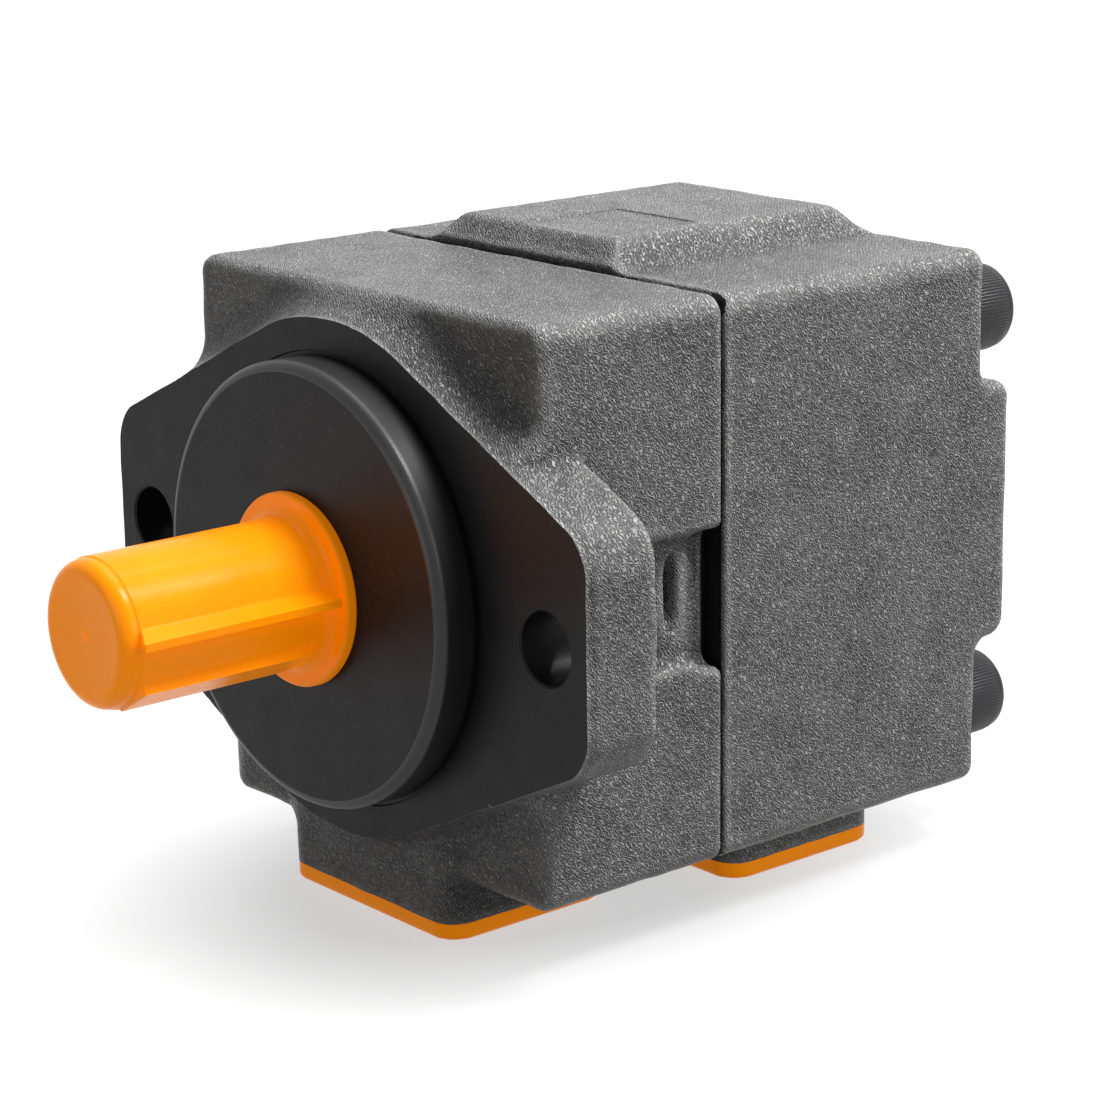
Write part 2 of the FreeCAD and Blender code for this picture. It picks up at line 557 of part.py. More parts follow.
# Cover casting: suction port, rear boss and top pad
def make_rear_cover():
    body = start_body("rear_cover")
    extruded(body, "rear_block", "XZ_Plane", "split_station + split_gap", "cover_rear",
             lambda sketch: rectangle(sketch, "-body_half_width", "body_half_width",
                                      "-body_half_height", "body_half_height"))
    rounded(body, "rear_long_edges", "edge_radius", lambda edge: straight(edge, 1))
    extruded(body, "rear_boss", "XZ_Plane", "cover_rear - rim_radius", "cover_rear + rear_boss_depth",
             lambda sketch: rectangle(sketch, "-body_half_width", "body_half_width",
                                      "-rear_boss_bottom", "rear_boss_top"))
    boss_face = value("cover_rear + rear_boss_depth")
    rounded(body, "rear_boss_rim", "rim_radius", lambda edge: lies_at(edge, 1, boss_face))
    extruded(body, "joint_land", "XZ_Plane", "split_station", "split_station + split_gap",
             lambda sketch: rectangle(sketch, "-body_half_width + split_land_inset",
                                      "body_half_width - split_land_inset",
                                      "-body_half_height + split_land_inset",
                                      "body_half_height - split_land_inset"))
    make_top_pad(body)
    add_port_pad(body, "suction", "suction_station", "suction_half_width", "suction_half_length")
    turned(body, "cover_bores", section_polygon([
        ("split_station - overcut", "0"), ("split_station - overcut", "chamber_radius"),
        (CARTRIDGE_REAR, "chamber_radius"), (CARTRIDGE_REAR, "suction_chamber_radius"),
        ("suction_chamber_rear", "suction_chamber_radius"), ("suction_chamber_rear", "0")]), cut=True)
    add_port_bores(body, "suction", "suction_chamber_radius")
    extruded(body, "cover_screw_holes", "XZ_Plane", "split_station - overcut", "cover_rear + overcut",
             lambda sketch: four_circles(sketch, ("0", "0"), "cover_screw_offset", "cover_screw_offset",
                                         SCREW_HOLE_RADIUS), cut=True)
    return body


def make_top_pad(body):
    """The pad on top of the cover, with leaning sides."""
    sections = []
    for name, height, lean in (("foot", "0", "0"), ("head", "top_pad_height", "top_pad_slope")):
        sketch = new_sketch(body, f"top_pad_{name}", "XY_Plane", f"body_half_height + {height}")
        rectangle(sketch, f"-top_pad_left + {lean}", f"top_pad_right - {lean}",
                  f"top_pad_front + {lean}", f"top_pad_rear - {lean}")
        sections.append(sketch)
    loft = body.newObject("PartDesign::AdditiveLoft", "top_pad")
    loft.Profile = sections[0]
    loft.Sections = [(sections[1], [""])]
    loft.Ruled = True
    body.Tip = loft
    return loft


# Drive shaft: keyed end, seal journal, bearing seat, splines and tail
def make_drive_shaft():
    body = start_body("drive_shaft")
    step = f"{PILOT_FRONT} + shaft_step_setback"
    groove_front = "bearing_front - snap_ring_width - snap_ring_play"
    groove_floor = "bearing_bore_radius - shaft_ring_depth"
    seat_front = f"{groove_front} - shaft_ring_depth"
    shoulder_rear = f"{BEARING_REAR} + shaft_shoulder_length"
    tail_end = f"{CARTRIDGE_REAR} + rear_hub_length"
    turned(body, "shaft_profile", section_polygon([
        (SHAFT_FRONT, "0"), (SHAFT_FRONT, "shaft_end_radius - shaft_chamfer"),
        (f"{SHAFT_FRONT} + shaft_chamfer", "shaft_end_radius"), (step, "shaft_end_radius"),
        (step, "seal_journal_radius"), (seat_front, "seal_journal_radius"),
        (seat_front, "bearing_bore_radius"), (groove_front, "bearing_bore_radius"),
        (groove_front, groove_floor), ("bearing_front", groove_floor),
        ("bearing_front", "bearing_bore_radius"), (BEARING_REAR, "bearing_bore_radius"),
        (BEARING_REAR, "shaft_shoulder_radius"), (shoulder_rear, "shaft_shoulder_radius"),
        (shoulder_rear, "shaft_body_radius"), (CAM_FRONT, "shaft_body_radius"),
        (CAM_FRONT, "spline_root_radius"), (CAM_REAR, "spline_root_radius"),
        (CAM_REAR, "shaft_tail_radius"), (f"{tail_end} - shaft_tail_chamfer", "shaft_tail_radius"),
        (tail_end, "shaft_tail_radius - shaft_tail_chamfer"), (tail_end, "0")]))
    spline = extruded(body, "spline", "XZ_Plane", CAM_FRONT, CAM_REAR,
                      lambda sketch: rectangle(sketch, "-spline_width / 2", "spline_width / 2",
                                               "spline_root_radius / 2", "spline_tip_radius"))
    repeated(body, spline, "spline_count")
    extruded(body, "key_seat", "XY_Plane", "shaft_end_radius - key_seat_depth", "shaft_end_radius + overcut",
             lambda sketch: rectangle(sketch, "-key_width / 2", "key_width / 2",
                                      f"{SHAFT_FRONT} + key_front_setback",
                                      f"{SHAFT_FRONT} + key_front_setback + key_length"), cut=True)
    return body


def make_shaft_key():
    body = start_body("shaft_key")
    extruded(body, "key", "XY_Plane", "shaft_end_radius - key_seat_depth", "key_height_above_axis",
             lambda sketch: rectangle(sketch, "-key_width / 2", "key_width / 2",
                                      f"{SHAFT_FRONT} + key_front_setback",
                                      f"{SHAFT_FRONT} + key_front_setback + key_length"))
    rounded(body, "key_ends", "(key_width - key_end_flat) / 2", lambda edge: straight(edge, 2))
    return body


# Ball bearing that carries the shaft
def make_bearing():
    groove_radius = "ball_radius + ball_groove_clearance"
    walls = {
        "bearing_inner_race": ("bearing_bore_radius", "bearing_bore_radius + bearing_race_wall"),
        "bearing_outer_race": ("bearing_outer_radius - bearing_race_wall", "bearing_outer_radius")}
    for label, wall in walls.items():
        race = start_body(label)
        turned(race, f"{label}_profile", section_polygon(ring_profile("bearing_front", BEARING_REAR, *wall)))
        turned(race, f"{label}_groove",
               lambda sketch: circle(sketch, (BEARING_MIDDLE, BALL_PITCH_RADIUS), groove_radius), cut=True)
    cage = start_body("bearing_cage")
    turned(cage, "cage_profile", section_polygon(ring_profile(
        f"{BEARING_MIDDLE} - cage_half_width", f"{BEARING_MIDDLE} + cage_half_width",
        f"{BALL_PITCH_RADIUS} - cage_half_height", f"{BALL_PITCH_RADIUS} + cage_half_height")))
    pocket = extruded(cage, "ball_pocket", "XY_Plane", "0", "bearing_outer_radius",
                      lambda sketch: circle(sketch, ("0", BEARING_MIDDLE),
                                            "ball_radius + cage_pocket_clearance"), cut=True)
    repeated(cage, pocket, "ball_count")
    ball = Part.makeSphere(value("ball_radius"), Vector(0, value(BEARING_MIDDLE), value(BALL_PITCH_RADIUS)))
    computed("bearing_balls", spread_round(ball, round(value("ball_count"))))


def spread_round(shape, count, first_angle=0.0):
    """One compound of copies of a shape, evenly round the shaft's axis."""
    copies = []
    for index in range(count):
        copy = shape.copy()
        copy.rotate(Vector(0, 0, 0), Vector(0, 1, 0), first_angle + 360.0 * index / count)
        copies.append(copy)
    return Part.makeCompound(copies)


# Snap rings that hold the bearing on the shaft and in the body
def make_snap_rings():
    make_snap_ring("shaft_snap_ring", "bearing_front - snap_ring_width", "bearing_front",
                   "bearing_bore_radius - shaft_ring_depth + snap_ring_play",
                   "bearing_bore_radius + shaft_ring_height")
    make_snap_ring("bore_snap_ring", f"{BEARING_REAR} + snap_ring_play",
                   f"{BEARING_REAR} + snap_ring_play + snap_ring_width",
                   "bearing_outer_radius - bore_ring_height",
                   "bearing_outer_radius + bore_ring_depth - snap_ring_play")


def make_snap_ring(label, front, rear, inner, outer):
    body = start_body(label)
    turned(body, f"{label}_profile", section_polygon(ring_profile(front, rear, inner, outer)))
    extruded(body, f"{label}_opening", "XZ_Plane", f"{front} - overcut", f"{rear} + overcut",
             lambda sketch: rectangle(sketch, "-snap_ring_opening / 2", "snap_ring_opening / 2",
                                      f"-({outer}) - overcut", "0"), cut=True)
    return body


# Lip seal: case, lip and garter spring
def make_seal():
    case_inner = "seal_outer_radius - seal_case_wall"
    web_inner = "seal_outer_radius - 4 * seal_case_wall"
    lip_radius = "seal_journal_radius + seal_lip_clearance"
    case = start_body("seal_case")
    turned(case, "case_profile", section_polygon([
        (SEAL_FRONT, web_inner), (f"{SEAL_FRONT} + seal_case_wall", web_inner),
        (f"{SEAL_FRONT} + seal_case_wall", case_inner), (SEAL_REAR, case_inner),
        (SEAL_REAR, "seal_outer_radius"), (SEAL_FRONT, "seal_outer_radius")]))
    lip = start_body("seal_lip")
    turned(lip, "lip_profile", section_polygon([
        (SEAL_FRONT, f"{lip_radius} + seal_case_wall / 4"), (f"{SEAL_FRONT} + seal_width / 2", lip_radius),
        (f"{SEAL_REAR} - seal_case_wall", f"{lip_radius} + seal_case_wall"),
        (f"{SEAL_REAR} - seal_case_wall", f"{lip_radius} + 2 * seal_case_wall"),
        (f"{SEAL_FRONT} + seal_width / 2", f"{lip_radius} + 1.5 * seal_case_wall"),
        (f"{SEAL_FRONT} + seal_case_wall", f"{web_inner}"), (SEAL_FRONT, web_inner)]))
    spring = start_body("garter_spring")
    spring_radius = f"{lip_radius} + 2 * seal_case_wall + garter_wire_radius"
    turned(spring, "spring_profile", lambda sketch: circle(
        sketch, (f"{SEAL_REAR} - seal_case_wall - garter_wire_radius", spring_radius), "garter_wire_radius"))


# Side plates of the cartridge
def add_windows(body, name, front, rear, phase):
    """Two opposite curved windows through a plate, turned by phase from the vertical."""
    window = turned(body, name, section_polygon(ring_profile(
        front, rear, "port_window_inner", "port_window_outer")), cut=True, angle="port_window_angle")
    turn_sketch(window.Profile[0], phase)
    repeated(body, window, "2")


def turn_sketch(sketch, angle):
    """Turns a sketch of stations and radii about the shaft's axis."""
    sketch.AttachmentOffset = Placement(Vector(0, 0, 0), Rotation(Vector(1, 0, 0), value(angle)))
    bind(sketch, ".AttachmentOffset.Rotation.Angle", f"({angle}) * 1 deg")


def add_fastener_holes(body, name, front, rear, screw_radius, dowel_radius):
    """Holes for two cartridge screws beside the axis, and for two dowels above and below it."""
    for kind, radius, across, up in (("screw", screw_radius, "fastener_circle", "0"),
                                     ("dowel", dowel_radius, "0", "fastener_circle")):
        extruded(body, f"{name}_{kind}_holes", "XZ_Plane", front[kind], rear[kind],
                 lambda sketch: pair_of_circles(sketch, across, up, radius), cut=True)


def make_front_plate():
    body = start_body("front_side_plate")
    bore = "shaft_shoulder_radius + plate_bore_clearance"
    seal_front = "plate_hub_front + plate_seal_depth / 2"
    seal_floor = f"{PLATE_HUB_RADIUS} - plate_seal_depth"
    turned(body, "front_plate_profile", section_polygon([
        ("plate_hub_front", bore), (f"{BEARING_REAR} + 2 * shaft_shoulder_length", bore),
        (f"{BEARING_REAR} + 2 * shaft_shoulder_length", "shaft_body_radius + plate_bore_clearance"),
        (CAM_FRONT, "shaft_body_radius + plate_bore_clearance"),
        (CAM_FRONT, "cartridge_radius"), ("cartridge_front", "cartridge_radius"),
        ("cartridge_front", PLATE_HUB_RADIUS), (f"{seal_front} + plate_seal_width", PLATE_HUB_RADIUS),
        (f"{seal_front} + plate_seal_width", seal_floor), (seal_front, seal_floor),
        (seal_front, PLATE_HUB_RADIUS), ("plate_hub_front", PLATE_HUB_RADIUS)]))
    add_fastener_holes(body, "front_plate",
                       {"screw": f"{CAM_FRONT} - cartridge_thread_reach - cartridge_thread_run_out",
                        "dowel": f"{CAM_FRONT} - dowel_reach"},
                       {"screw": f"{CAM_FRONT} + overcut", "dowel": f"{CAM_FRONT} + overcut"},
                       "cartridge_screw_radius", "dowel_radius")
    add_windows(body, "outlet_window", "cartridge_front - overcut", f"{CAM_FRONT} + overcut",
                "-cam_phase - 45 - port_window_angle / 2")
    seal = start_body("front_plate_seal")
    turned(seal, "front_plate_seal_profile", section_polygon(ring_profile(
        f"{seal_front} + snap_ring_play", f"{seal_front} + plate_seal_width - snap_ring_play",
        seal_floor, "bearing_outer_radius")))


def make_rear_plate():
    body = start_body("rear_side_plate")
    seal_front = f"{CARTRIDGE_REAR} + rear_hub_length / 4"
    seal_floor = f"{REAR_HUB_RADIUS} - plate_seal_depth"
    hub_rear = f"{CARTRIDGE_REAR} + rear_hub_length"
    turned(body, "rear_plate_profile", section_polygon([
        (CAM_REAR, BUSH_RADIUS), (hub_rear, BUSH_RADIUS), (hub_rear, REAR_HUB_RADIUS),
        (f"{seal_front} + plate_seal_width", REAR_HUB_RADIUS), (f"{seal_front} + plate_seal_width", seal_floor),
        (seal_front, seal_floor), (seal_front, REAR_HUB_RADIUS), (CARTRIDGE_REAR, REAR_HUB_RADIUS),
        (CARTRIDGE_REAR, "cartridge_radius"), (CAM_REAR, "cartridge_radius")]))
    add_fastener_holes(body, "rear_plate",
                       {"screw": f"{CAM_REAR} - overcut", "dowel": f"{CAM_REAR} - overcut"},
                       {"screw": f"{CARTRIDGE_REAR} + overcut", "dowel": f"{CAM_REAR} + dowel_reach"},
                       FASTENER_HOLE, "dowel_radius")
    extruded(body, "screw_head_seats", "XZ_Plane", f"{CARTRIDGE_REAR} - cartridge_head_height",
             f"{CARTRIDGE_REAR} + overcut",
             lambda sketch: pair_of_circles(sketch, "fastener_circle", "0",
                                            "cartridge_head_radius + fastener_clearance"), cut=True)
    add_windows(body, "inlet_window", f"{CAM_REAR} - overcut", f"{hub_rear} + overcut",
                "-cam_phase + 45 - port_window_angle / 2")
    seal = start_body("rear_plate_seal")
    turned(seal, "rear_plate_seal_profile", section_polygon(ring_profile(
        f"{seal_front} + snap_ring_play", f"{seal_front} + plate_seal_width - snap_ring_play",
        seal_floor, "suction_chamber_radius")))
    bush = start_body("rear_plate_bush")
    turned(bush, "bush_profile", section_polygon(ring_profile(CAM_REAR, hub_rear, BUSH_BORE, BUSH_RADIUS)))


# Cam ring: the contour follows a two-lobed cosine, so both halves of the pump balance
def cam_radius(angle):
    """The contour's radius at an angle, in degrees clockwise from the top seen from the shaft's end."""
    middle = (value("cam_minor_radius") + value("cam_major_radius")) / 2
    swing = (value("cam_major_radius") - value("cam_minor_radius")) / 2
    return middle - swing * math.cos(math.radians(2 * (angle + value("cam_phase"))))


def make_cam_ring():
    front, rear = value(CAM_FRONT), value(CAM_REAR)
    cut_front = front - value("overcut")
    cut_length = rear - front + 2 * value("overcut")
    points = []
    for angle in range(0, 360, CAM_STEP):
        turn = math.radians(angle)
        points.append(Vector(cam_radius(angle) * math.sin(turn), cut_front, cam_radius(angle) * math.cos(turn)))
    contour = Part.BSplineCurve()
    contour.interpolate(Points=points, PeriodicFlag=True)
    opening = Part.Face(Part.Wire(contour.toShape())).extrude(Vector(0, cut_length, 0))
    along = Vector(0, 1, 0)
    ring = Part.makeCylinder(value("cartridge_radius"), rear - front, Vector(0, front, 0), along).cut(opening)
    offset = value("fastener_circle")
    for side in (-1, 1):
        screw_start = Vector(side * offset, cut_front, 0)
        dowel_start = Vector(0, cut_front, side * offset)
        ring = ring.cut(Part.makeCylinder(value(FASTENER_HOLE), cut_length, screw_start, along))
        ring = ring.cut(Part.makeCylinder(value("dowel_radius"), cut_length, dowel_start, along))
    computed("cam_ring", ring)


# Rotor with a slot for each vane
def make_rotor():
    body = start_body("rotor")
    front = f"{CAM_FRONT} + rotor_side_clearance"
    rear = f"{CAM_REAR} - rotor_side_clearance"
    turned(body, "rotor_profile", section_polygon(ring_profile(
        front, rear, "spline_root_radius + spline_clearance", "rotor_radius")))
    spline_side = "spline_width / 2 + spline_clearance"
    spline = extruded(body, "rotor_spline", "XZ_Plane", f"{front} - overcut", f"{rear} + overcut",
                      lambda sketch: rectangle(sketch, f"-({spline_side})", spline_side,
                                               "spline_root_radius / 2",
                                               "spline_tip_radius + spline_clearance"), cut=True)
    repeated(body, spline, "spline_count")
    floor = f"{VANE_ROOT} - vane_root_clearance"
    slot = extruded(body, "vane_slot", "XZ_Plane", f"{front} - overcut", f"{rear} + overcut",
                    lambda sketch: rectangle(sketch, "-vane_thickness / 2 - vane_slot_clearance",
                                             "vane_thickness / 2 + vane_slot_clearance",
                                             floor, "rotor_radius + overcut"), cut=True)
    repeated(body, slot, "vane_count")
    bulb = extruded(body, "slot_bulb", "XZ_Plane", f"{front} - overcut", f"{rear} + overcut",
                    lambda sketch: circle(sketch, ("0", floor), "slot_bulb_radius"), cut=True)
    repeated(body, bulb, "vane_count")
    return body


def make_vane(number, count):
    """One vane, turned to its slot. The first one points up."""
    body = start_body(f"vane_{number:02d}")
    half = "vane_thickness / 2"
    extruded(body, f"vane_{number:02d}_section", "XZ_Plane", f"{CAM_FRONT} + rotor_side_clearance",
             f"{CAM_REAR} - rotor_side_clearance", section_polygon([
                 (f"-{half}", VANE_ROOT), (half, VANE_ROOT), (half, "vane_tip_rest"),
                 ("0", "vane_tip_rest"), (f"-{half}", "vane_tip_rest - vane_tip_chamfer")]))
    body.Placement = Placement(Vector(0, 0, 0), Rotation(Vector(0, 1, 0), 360.0 * (number - 1) / count))
    return body


# Screws, dowels and seals that hold the pump together
def make_cover_screws():
    along = Vector(0, 1, 0)
    head_start = value("cover_rear")
    head = value("cover_screw_head_height")
    chamfer = value("screw_head_chamfer")
    tip = value("split_station") - value("cover_screw_reach")
    radius = value("cover_screw_radius")
    head_radius = value("cover_screw_head_radius")
    profile = [
        (0, tip), (radius - chamfer, tip), (radius, tip + chamfer), (radius, head_start),
        (head_radius, head_start), (head_radius, head_start + head - chamfer),
        (head_radius - chamfer, head_start + head), (0, head_start + head)]
    outline = Part.makePolygon([Vector(r, y, 0) for r, y in profile + profile[:1]])
    screw = Part.Face(outline).revolve(Vector(0, 0, 0), along, 360)
    corner = value("cover_screw_socket") / math.sqrt(3)
    floor = head_start + head - value("cover_screw_socket_depth")
    hexagon = []
    for turn in range(0, 361, 60):
        across = Vector(corner * math.cos(math.radians(turn)), 0, corner * math.sin(math.radians(turn)))
        hexagon.append(across + Vector(0, floor, 0))
    depth = Vector(0, value("cover_screw_socket_depth + overcut"), 0)
    screw = screw.cut(Part.Face(Part.makePolygon(hexagon)).extrude(depth))
    offset = value("cover_screw_offset")
    places = [Vector(side * offset, 0, level * offset) for side in (-1, 1) for level in (-1, 1)]
    computed("cover_screws", Part.makeCompound([screw.translated(place) for place in places]))


def make_cartridge_fasteners():
    along = Vector(0, 1, 0)
    offset = value("fastener_circle")
    tip = value(f"{CAM_FRONT} - cartridge_thread_reach")
    seat = value(f"{CARTRIDGE_REAR} - cartridge_head_height")
    screws = []
    dowels = []
    for side in (-1, 1):
        shank = Part.makeCylinder(value("cartridge_screw_radius"), seat - tip,
                                  Vector(side * offset, tip, 0), along)
        head = Part.makeCylinder(value("cartridge_head_radius"), value("cartridge_head_height"),
                                 Vector(side * offset, seat, 0), along)
        screws.append(shank.fuse(head).removeSplitter())
        start = Vector(0, value(f"{CAM_FRONT} - dowel_reach"), side * offset)
        dowels.append(Part.makeCylinder(value("dowel_radius"), value("cam_ring_width + 2 * dowel_reach"),
                                        start, along))
    computed("cartridge_screws", Part.makeCompound(screws))
    computed("dowel_pins", Part.makeCompound(dowels))


def make_body_o_ring():
    body = start_body("body_o_ring")
    station = "split_station - o_ring_cord - o_ring_room / 2"
    turned(body, "o_ring_profile", lambda sketch: circle(sketch, (station, "o_ring_radius"), "o_ring_cord"))


# Transport caps over the shaft and the ports
def make_shaft_cap():
    body = start_body("shaft_cap")
    sleeve_rear = f"{CAP_REAR} - cap_flange_thickness"
    turned(body, "cap_profile", section_polygon([
        (CAP_FRONT, "0"), (CAP_FRONT, "cap_sleeve_radius - cap_end_round"),
        (f"{CAP_FRONT} + cap_end_round / 3", "cap_sleeve_radius - cap_end_round / 3"),
        (f"{CAP_FRONT} + cap_end_round", "cap_sleeve_radius"),
        (f"{sleeve_rear} - cap_flange_fillet", "cap_sleeve_radius"),
        (sleeve_rear, "cap_sleeve_radius + cap_flange_fillet"), (sleeve_rear, "cap_flange_radius"),
        (CAP_REAR, "cap_flange_radius"), (CAP_REAR, CAP_BORE), (CAP_SHAFT_END, CAP_BORE),
        (CAP_SHAFT_END, "0")]))
    inside = "cap_sleeve_radius - cap_wall / 2"
    fin_front = f"{CAP_FRONT} + cap_end_round"
    extruded(body, "side_fin", "XZ_Plane", fin_front, sleeve_rear,
             lambda sketch: rectangle(sketch, inside, "cap_fin_reach", "cap_fin_height",
                                      "cap_fin_height + cap_fin_thickness"))
    ridge = [("cap_ridge_radius", "cap_ridge_angle"), ("cap_ridge_foot_radius", "cap_ridge_foot_angle"),
             (inside, "cap_ridge_foot_angle"), (inside, "cap_ridge_angle - cap_ridge_top_angle")]
    extruded(body, "lower_ridge", "XZ_Plane", fin_front, sleeve_rear, section_polygon(
        [(f"({radius}) * cos(({angle}) * 1 deg)", f"-({radius}) * sin(({angle}) * 1 deg)")
         for radius, angle in ridge]))
    return body


def make_port_cap(name):
    """A plate over the port pad, with a hollow plug that grips the seat at the port's mouth."""
    body = start_body(f"{name}_port_cap")
    station = f"{name}_station"
    extruded(body, f"{name}_cap_plate", "XY_Plane", PORT_CAP_FLOOR, PAD_FLOOR,
             lambda sketch: rectangle(sketch, f"-{name}_half_width", f"{name}_half_width",
                                      f"{station} - {name}_half_length", f"{station} + {name}_half_length"))
    rounded(body, f"{name}_cap_corners", "port_pad_corner", lambda edge: straight(edge, 2))
    floor = value(PORT_CAP_FLOOR)
    rounded(body, f"{name}_cap_rim", "port_cap_rim / 3", lambda edge: lies_at(edge, 2, floor))
    plug = f"{name}_bore_radius + port_seat_room - port_plug_clearance"
    extruded(body, f"{name}_plug", "XY_Plane", f"{PAD_FLOOR} - port_cap_rim / 2",
             f"{PAD_FLOOR} + port_plug_length",
             lambda sketch: [circle(sketch, ("0", station), plug),
                             circle(sketch, ("0", station), f"{plug} - port_plug_wall")])
    return body


def check_document():
    """Stops if any object of the document failed or any piece has no sound shape."""
    doc.recompute()
    for thing in doc.Objects:
        if "Invalid" in thing.State or "Error" in thing.State:
            raise RuntimeError(f"{thing.Name} failed: {thing.State}")
    for piece in finished:
        if piece.Shape.isNull() or not piece.Shape.isValid() or not piece.Shape.Solids:
            raise RuntimeError(f"{piece.Label} has no valid solid")


def export_pieces():
    os.makedirs("parts", exist_ok=True)
    for piece in finished:
        piece.Shape.exportStep(os.path.join("parts", f"{piece.Label}.step"))
        print(piece.Label, len(piece.Shape.Solids), round(piece.Shape.Volume, 1))


fill_sheet()
make_front_body()
make_rear_cover()
make_cover_screws()
make_body_o_ring()
make_drive_shaft()
make_shaft_key()
make_bearing()
make_snap_rings()
make_seal()
make_front_plate()
make_rear_plate()
make_cam_ring()
make_rotor()
vane_total = round(value("vane_count"))
for vane_number in range(1, vane_total + 1):
    make_vane(vane_number, vane_total)
make_cartridge_fasteners()
make_shaft_cap()
make_port_cap("discharge")
make_port_cap("suction")
check_document()
export_pieces()
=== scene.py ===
import json
import math

import bpy
import numpy as np
from mathutils import Matrix, Vector

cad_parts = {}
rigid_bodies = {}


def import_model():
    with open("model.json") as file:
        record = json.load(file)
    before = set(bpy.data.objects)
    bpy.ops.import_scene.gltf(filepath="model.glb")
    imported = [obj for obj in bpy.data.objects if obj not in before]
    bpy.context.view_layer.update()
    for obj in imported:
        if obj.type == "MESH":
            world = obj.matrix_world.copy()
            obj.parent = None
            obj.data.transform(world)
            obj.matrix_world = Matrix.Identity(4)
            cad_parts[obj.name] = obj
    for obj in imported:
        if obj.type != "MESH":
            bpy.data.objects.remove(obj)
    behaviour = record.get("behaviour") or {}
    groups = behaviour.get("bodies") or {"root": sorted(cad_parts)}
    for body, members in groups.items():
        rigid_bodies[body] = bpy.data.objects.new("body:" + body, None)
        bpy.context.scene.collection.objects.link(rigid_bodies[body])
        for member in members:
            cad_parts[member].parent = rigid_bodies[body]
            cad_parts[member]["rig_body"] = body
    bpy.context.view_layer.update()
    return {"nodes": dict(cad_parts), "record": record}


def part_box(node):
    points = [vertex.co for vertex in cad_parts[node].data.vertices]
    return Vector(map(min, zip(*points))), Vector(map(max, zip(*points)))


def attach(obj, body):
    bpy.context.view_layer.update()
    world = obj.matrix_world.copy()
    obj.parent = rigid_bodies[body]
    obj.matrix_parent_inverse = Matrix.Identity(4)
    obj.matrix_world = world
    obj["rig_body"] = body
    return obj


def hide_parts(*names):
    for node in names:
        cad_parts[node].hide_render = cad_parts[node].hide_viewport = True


# Hydraulic vane pump. Lengths are millimetres here and become metres where something is made from them.
# The origin is the pilot's centre on the flange face, the shaft points to -Y and +Z is up.
MM = 0.001

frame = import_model()


def node_box(name):
    """Lowest and highest corner of a CAD node, in millimetres."""
    low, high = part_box(name)
    return np.array(low) / MM, np.array(high) / MM


# Sizes read from the frame
BODY_LOW, BODY_HIGH = node_box("front_body")
COVER_LOW, COVER_HIGH = node_box("rear_cover")
SHAFT_CAP_LOW, SHAFT_CAP_HIGH = node_box("shaft_cap")
SCREWS_LOW, SCREWS_HIGH = node_box("cover_screws")
PORT_CAPS = {name: node_box(f"{name}_port_cap") for name in ("discharge", "suction")}
EAR_REACH = BODY_HIGH[0]
PILOT_FRONT = BODY_LOW[1]
SPLIT = BODY_HIGH[1]
HALF_WIDTH = COVER_HIGH[0]
HALF_HEIGHT = BODY_HIGH[2]
PAD_FLOOR = COVER_LOW[2]
BOSS_REAR = COVER_HIGH[1]
PAD_TOP = COVER_HIGH[2]
FLOOR = PORT_CAPS["suction"][0][2]

# Flange, pilot and mounting holes
FLANGE_ARC = 60.0
EAR_HALF_HEIGHT = 24.4
EAR_THICKNESS = 19.0
EAR_CORNER = 7.0
EAR_REAR_ROUND = 1.2
EAR_FILLET = 2.5
EAR_DRAFT = 0.7
EAR_DRAFT_DEPTH = 3.4
BOLT_OFFSET = 73.0
BOLT_HOLE = 8.0
BOLT_RING = 9.3
BOLT_RING_LAP = 0.1
BOLT_CHAMFER = 0.45
PILOT_RADIUS = 50.8
PILOT_ROUND = 2.4
PILOT_SEAT = 52.4
PILOT_SEAT_DEPTH = 2.4
PILOT_WALL_REAR = -0.8
PILOT_RING_LAP = 0.15
UNDERCUT_FRONT = -0.9
UNDERCUT_REAR = -0.7
UNDERCUT_DEPTH = 0.5
RELIEF_FLOOR = 0.5
RELIEF_FLOOR_WIDTH = 0.9
RELIEF_MOUTH_WIDTH = 1.1
RING_PROUD = 0.012

# Block and joint
BODY_FRONT = 8.5
BODY_EDGE = 4.5
BODY_RIM = 3.0
FLARE = 8.0
SPLIT_ROUND = 0.9
SPLIT_GAP = 1.2
TOP_SPLIT_GAP = 2.6
TOP_GAP_START = 6.0
TOP_GAP_END = 1.0
JOINT_RIM = 1.2
LAND_INSET = 7.0
LAND_DEPTH = 10.0
LEFT_BEVEL = 8.0
LEFT_BEVEL_TOP = -16.0
BEVEL_ROUND = 3.0

# Wrench pockets
POCKET_TOP = 13.0
POCKET_BOTTOM = -16.0
POCKET_LEAST_DEPTH = 2.0
POCKET_ROUND = 3.5
POCKET_RIM = 2.2
SCOOP_DEPTH = 3.08
SCOOP_STATION = 35.0
SCOOP_REACH = 17.0
CREASE_DEPTH = 5.04
CREASE_STATION = 48.0
CREASE_WIDTH = 1.1
CREASE_FULL = 3.0
CREASE_END = 10.0
MOUTH_DEPTH = 4.48
MOUTH_FLARE = 3.0

# Port pads
PAD_FILLET = 4.0
PAD_CORNER = 6.5
DISCHARGE_PAD_ROOT = -52.0
SUCTION_PAD_ROOT = -58.0

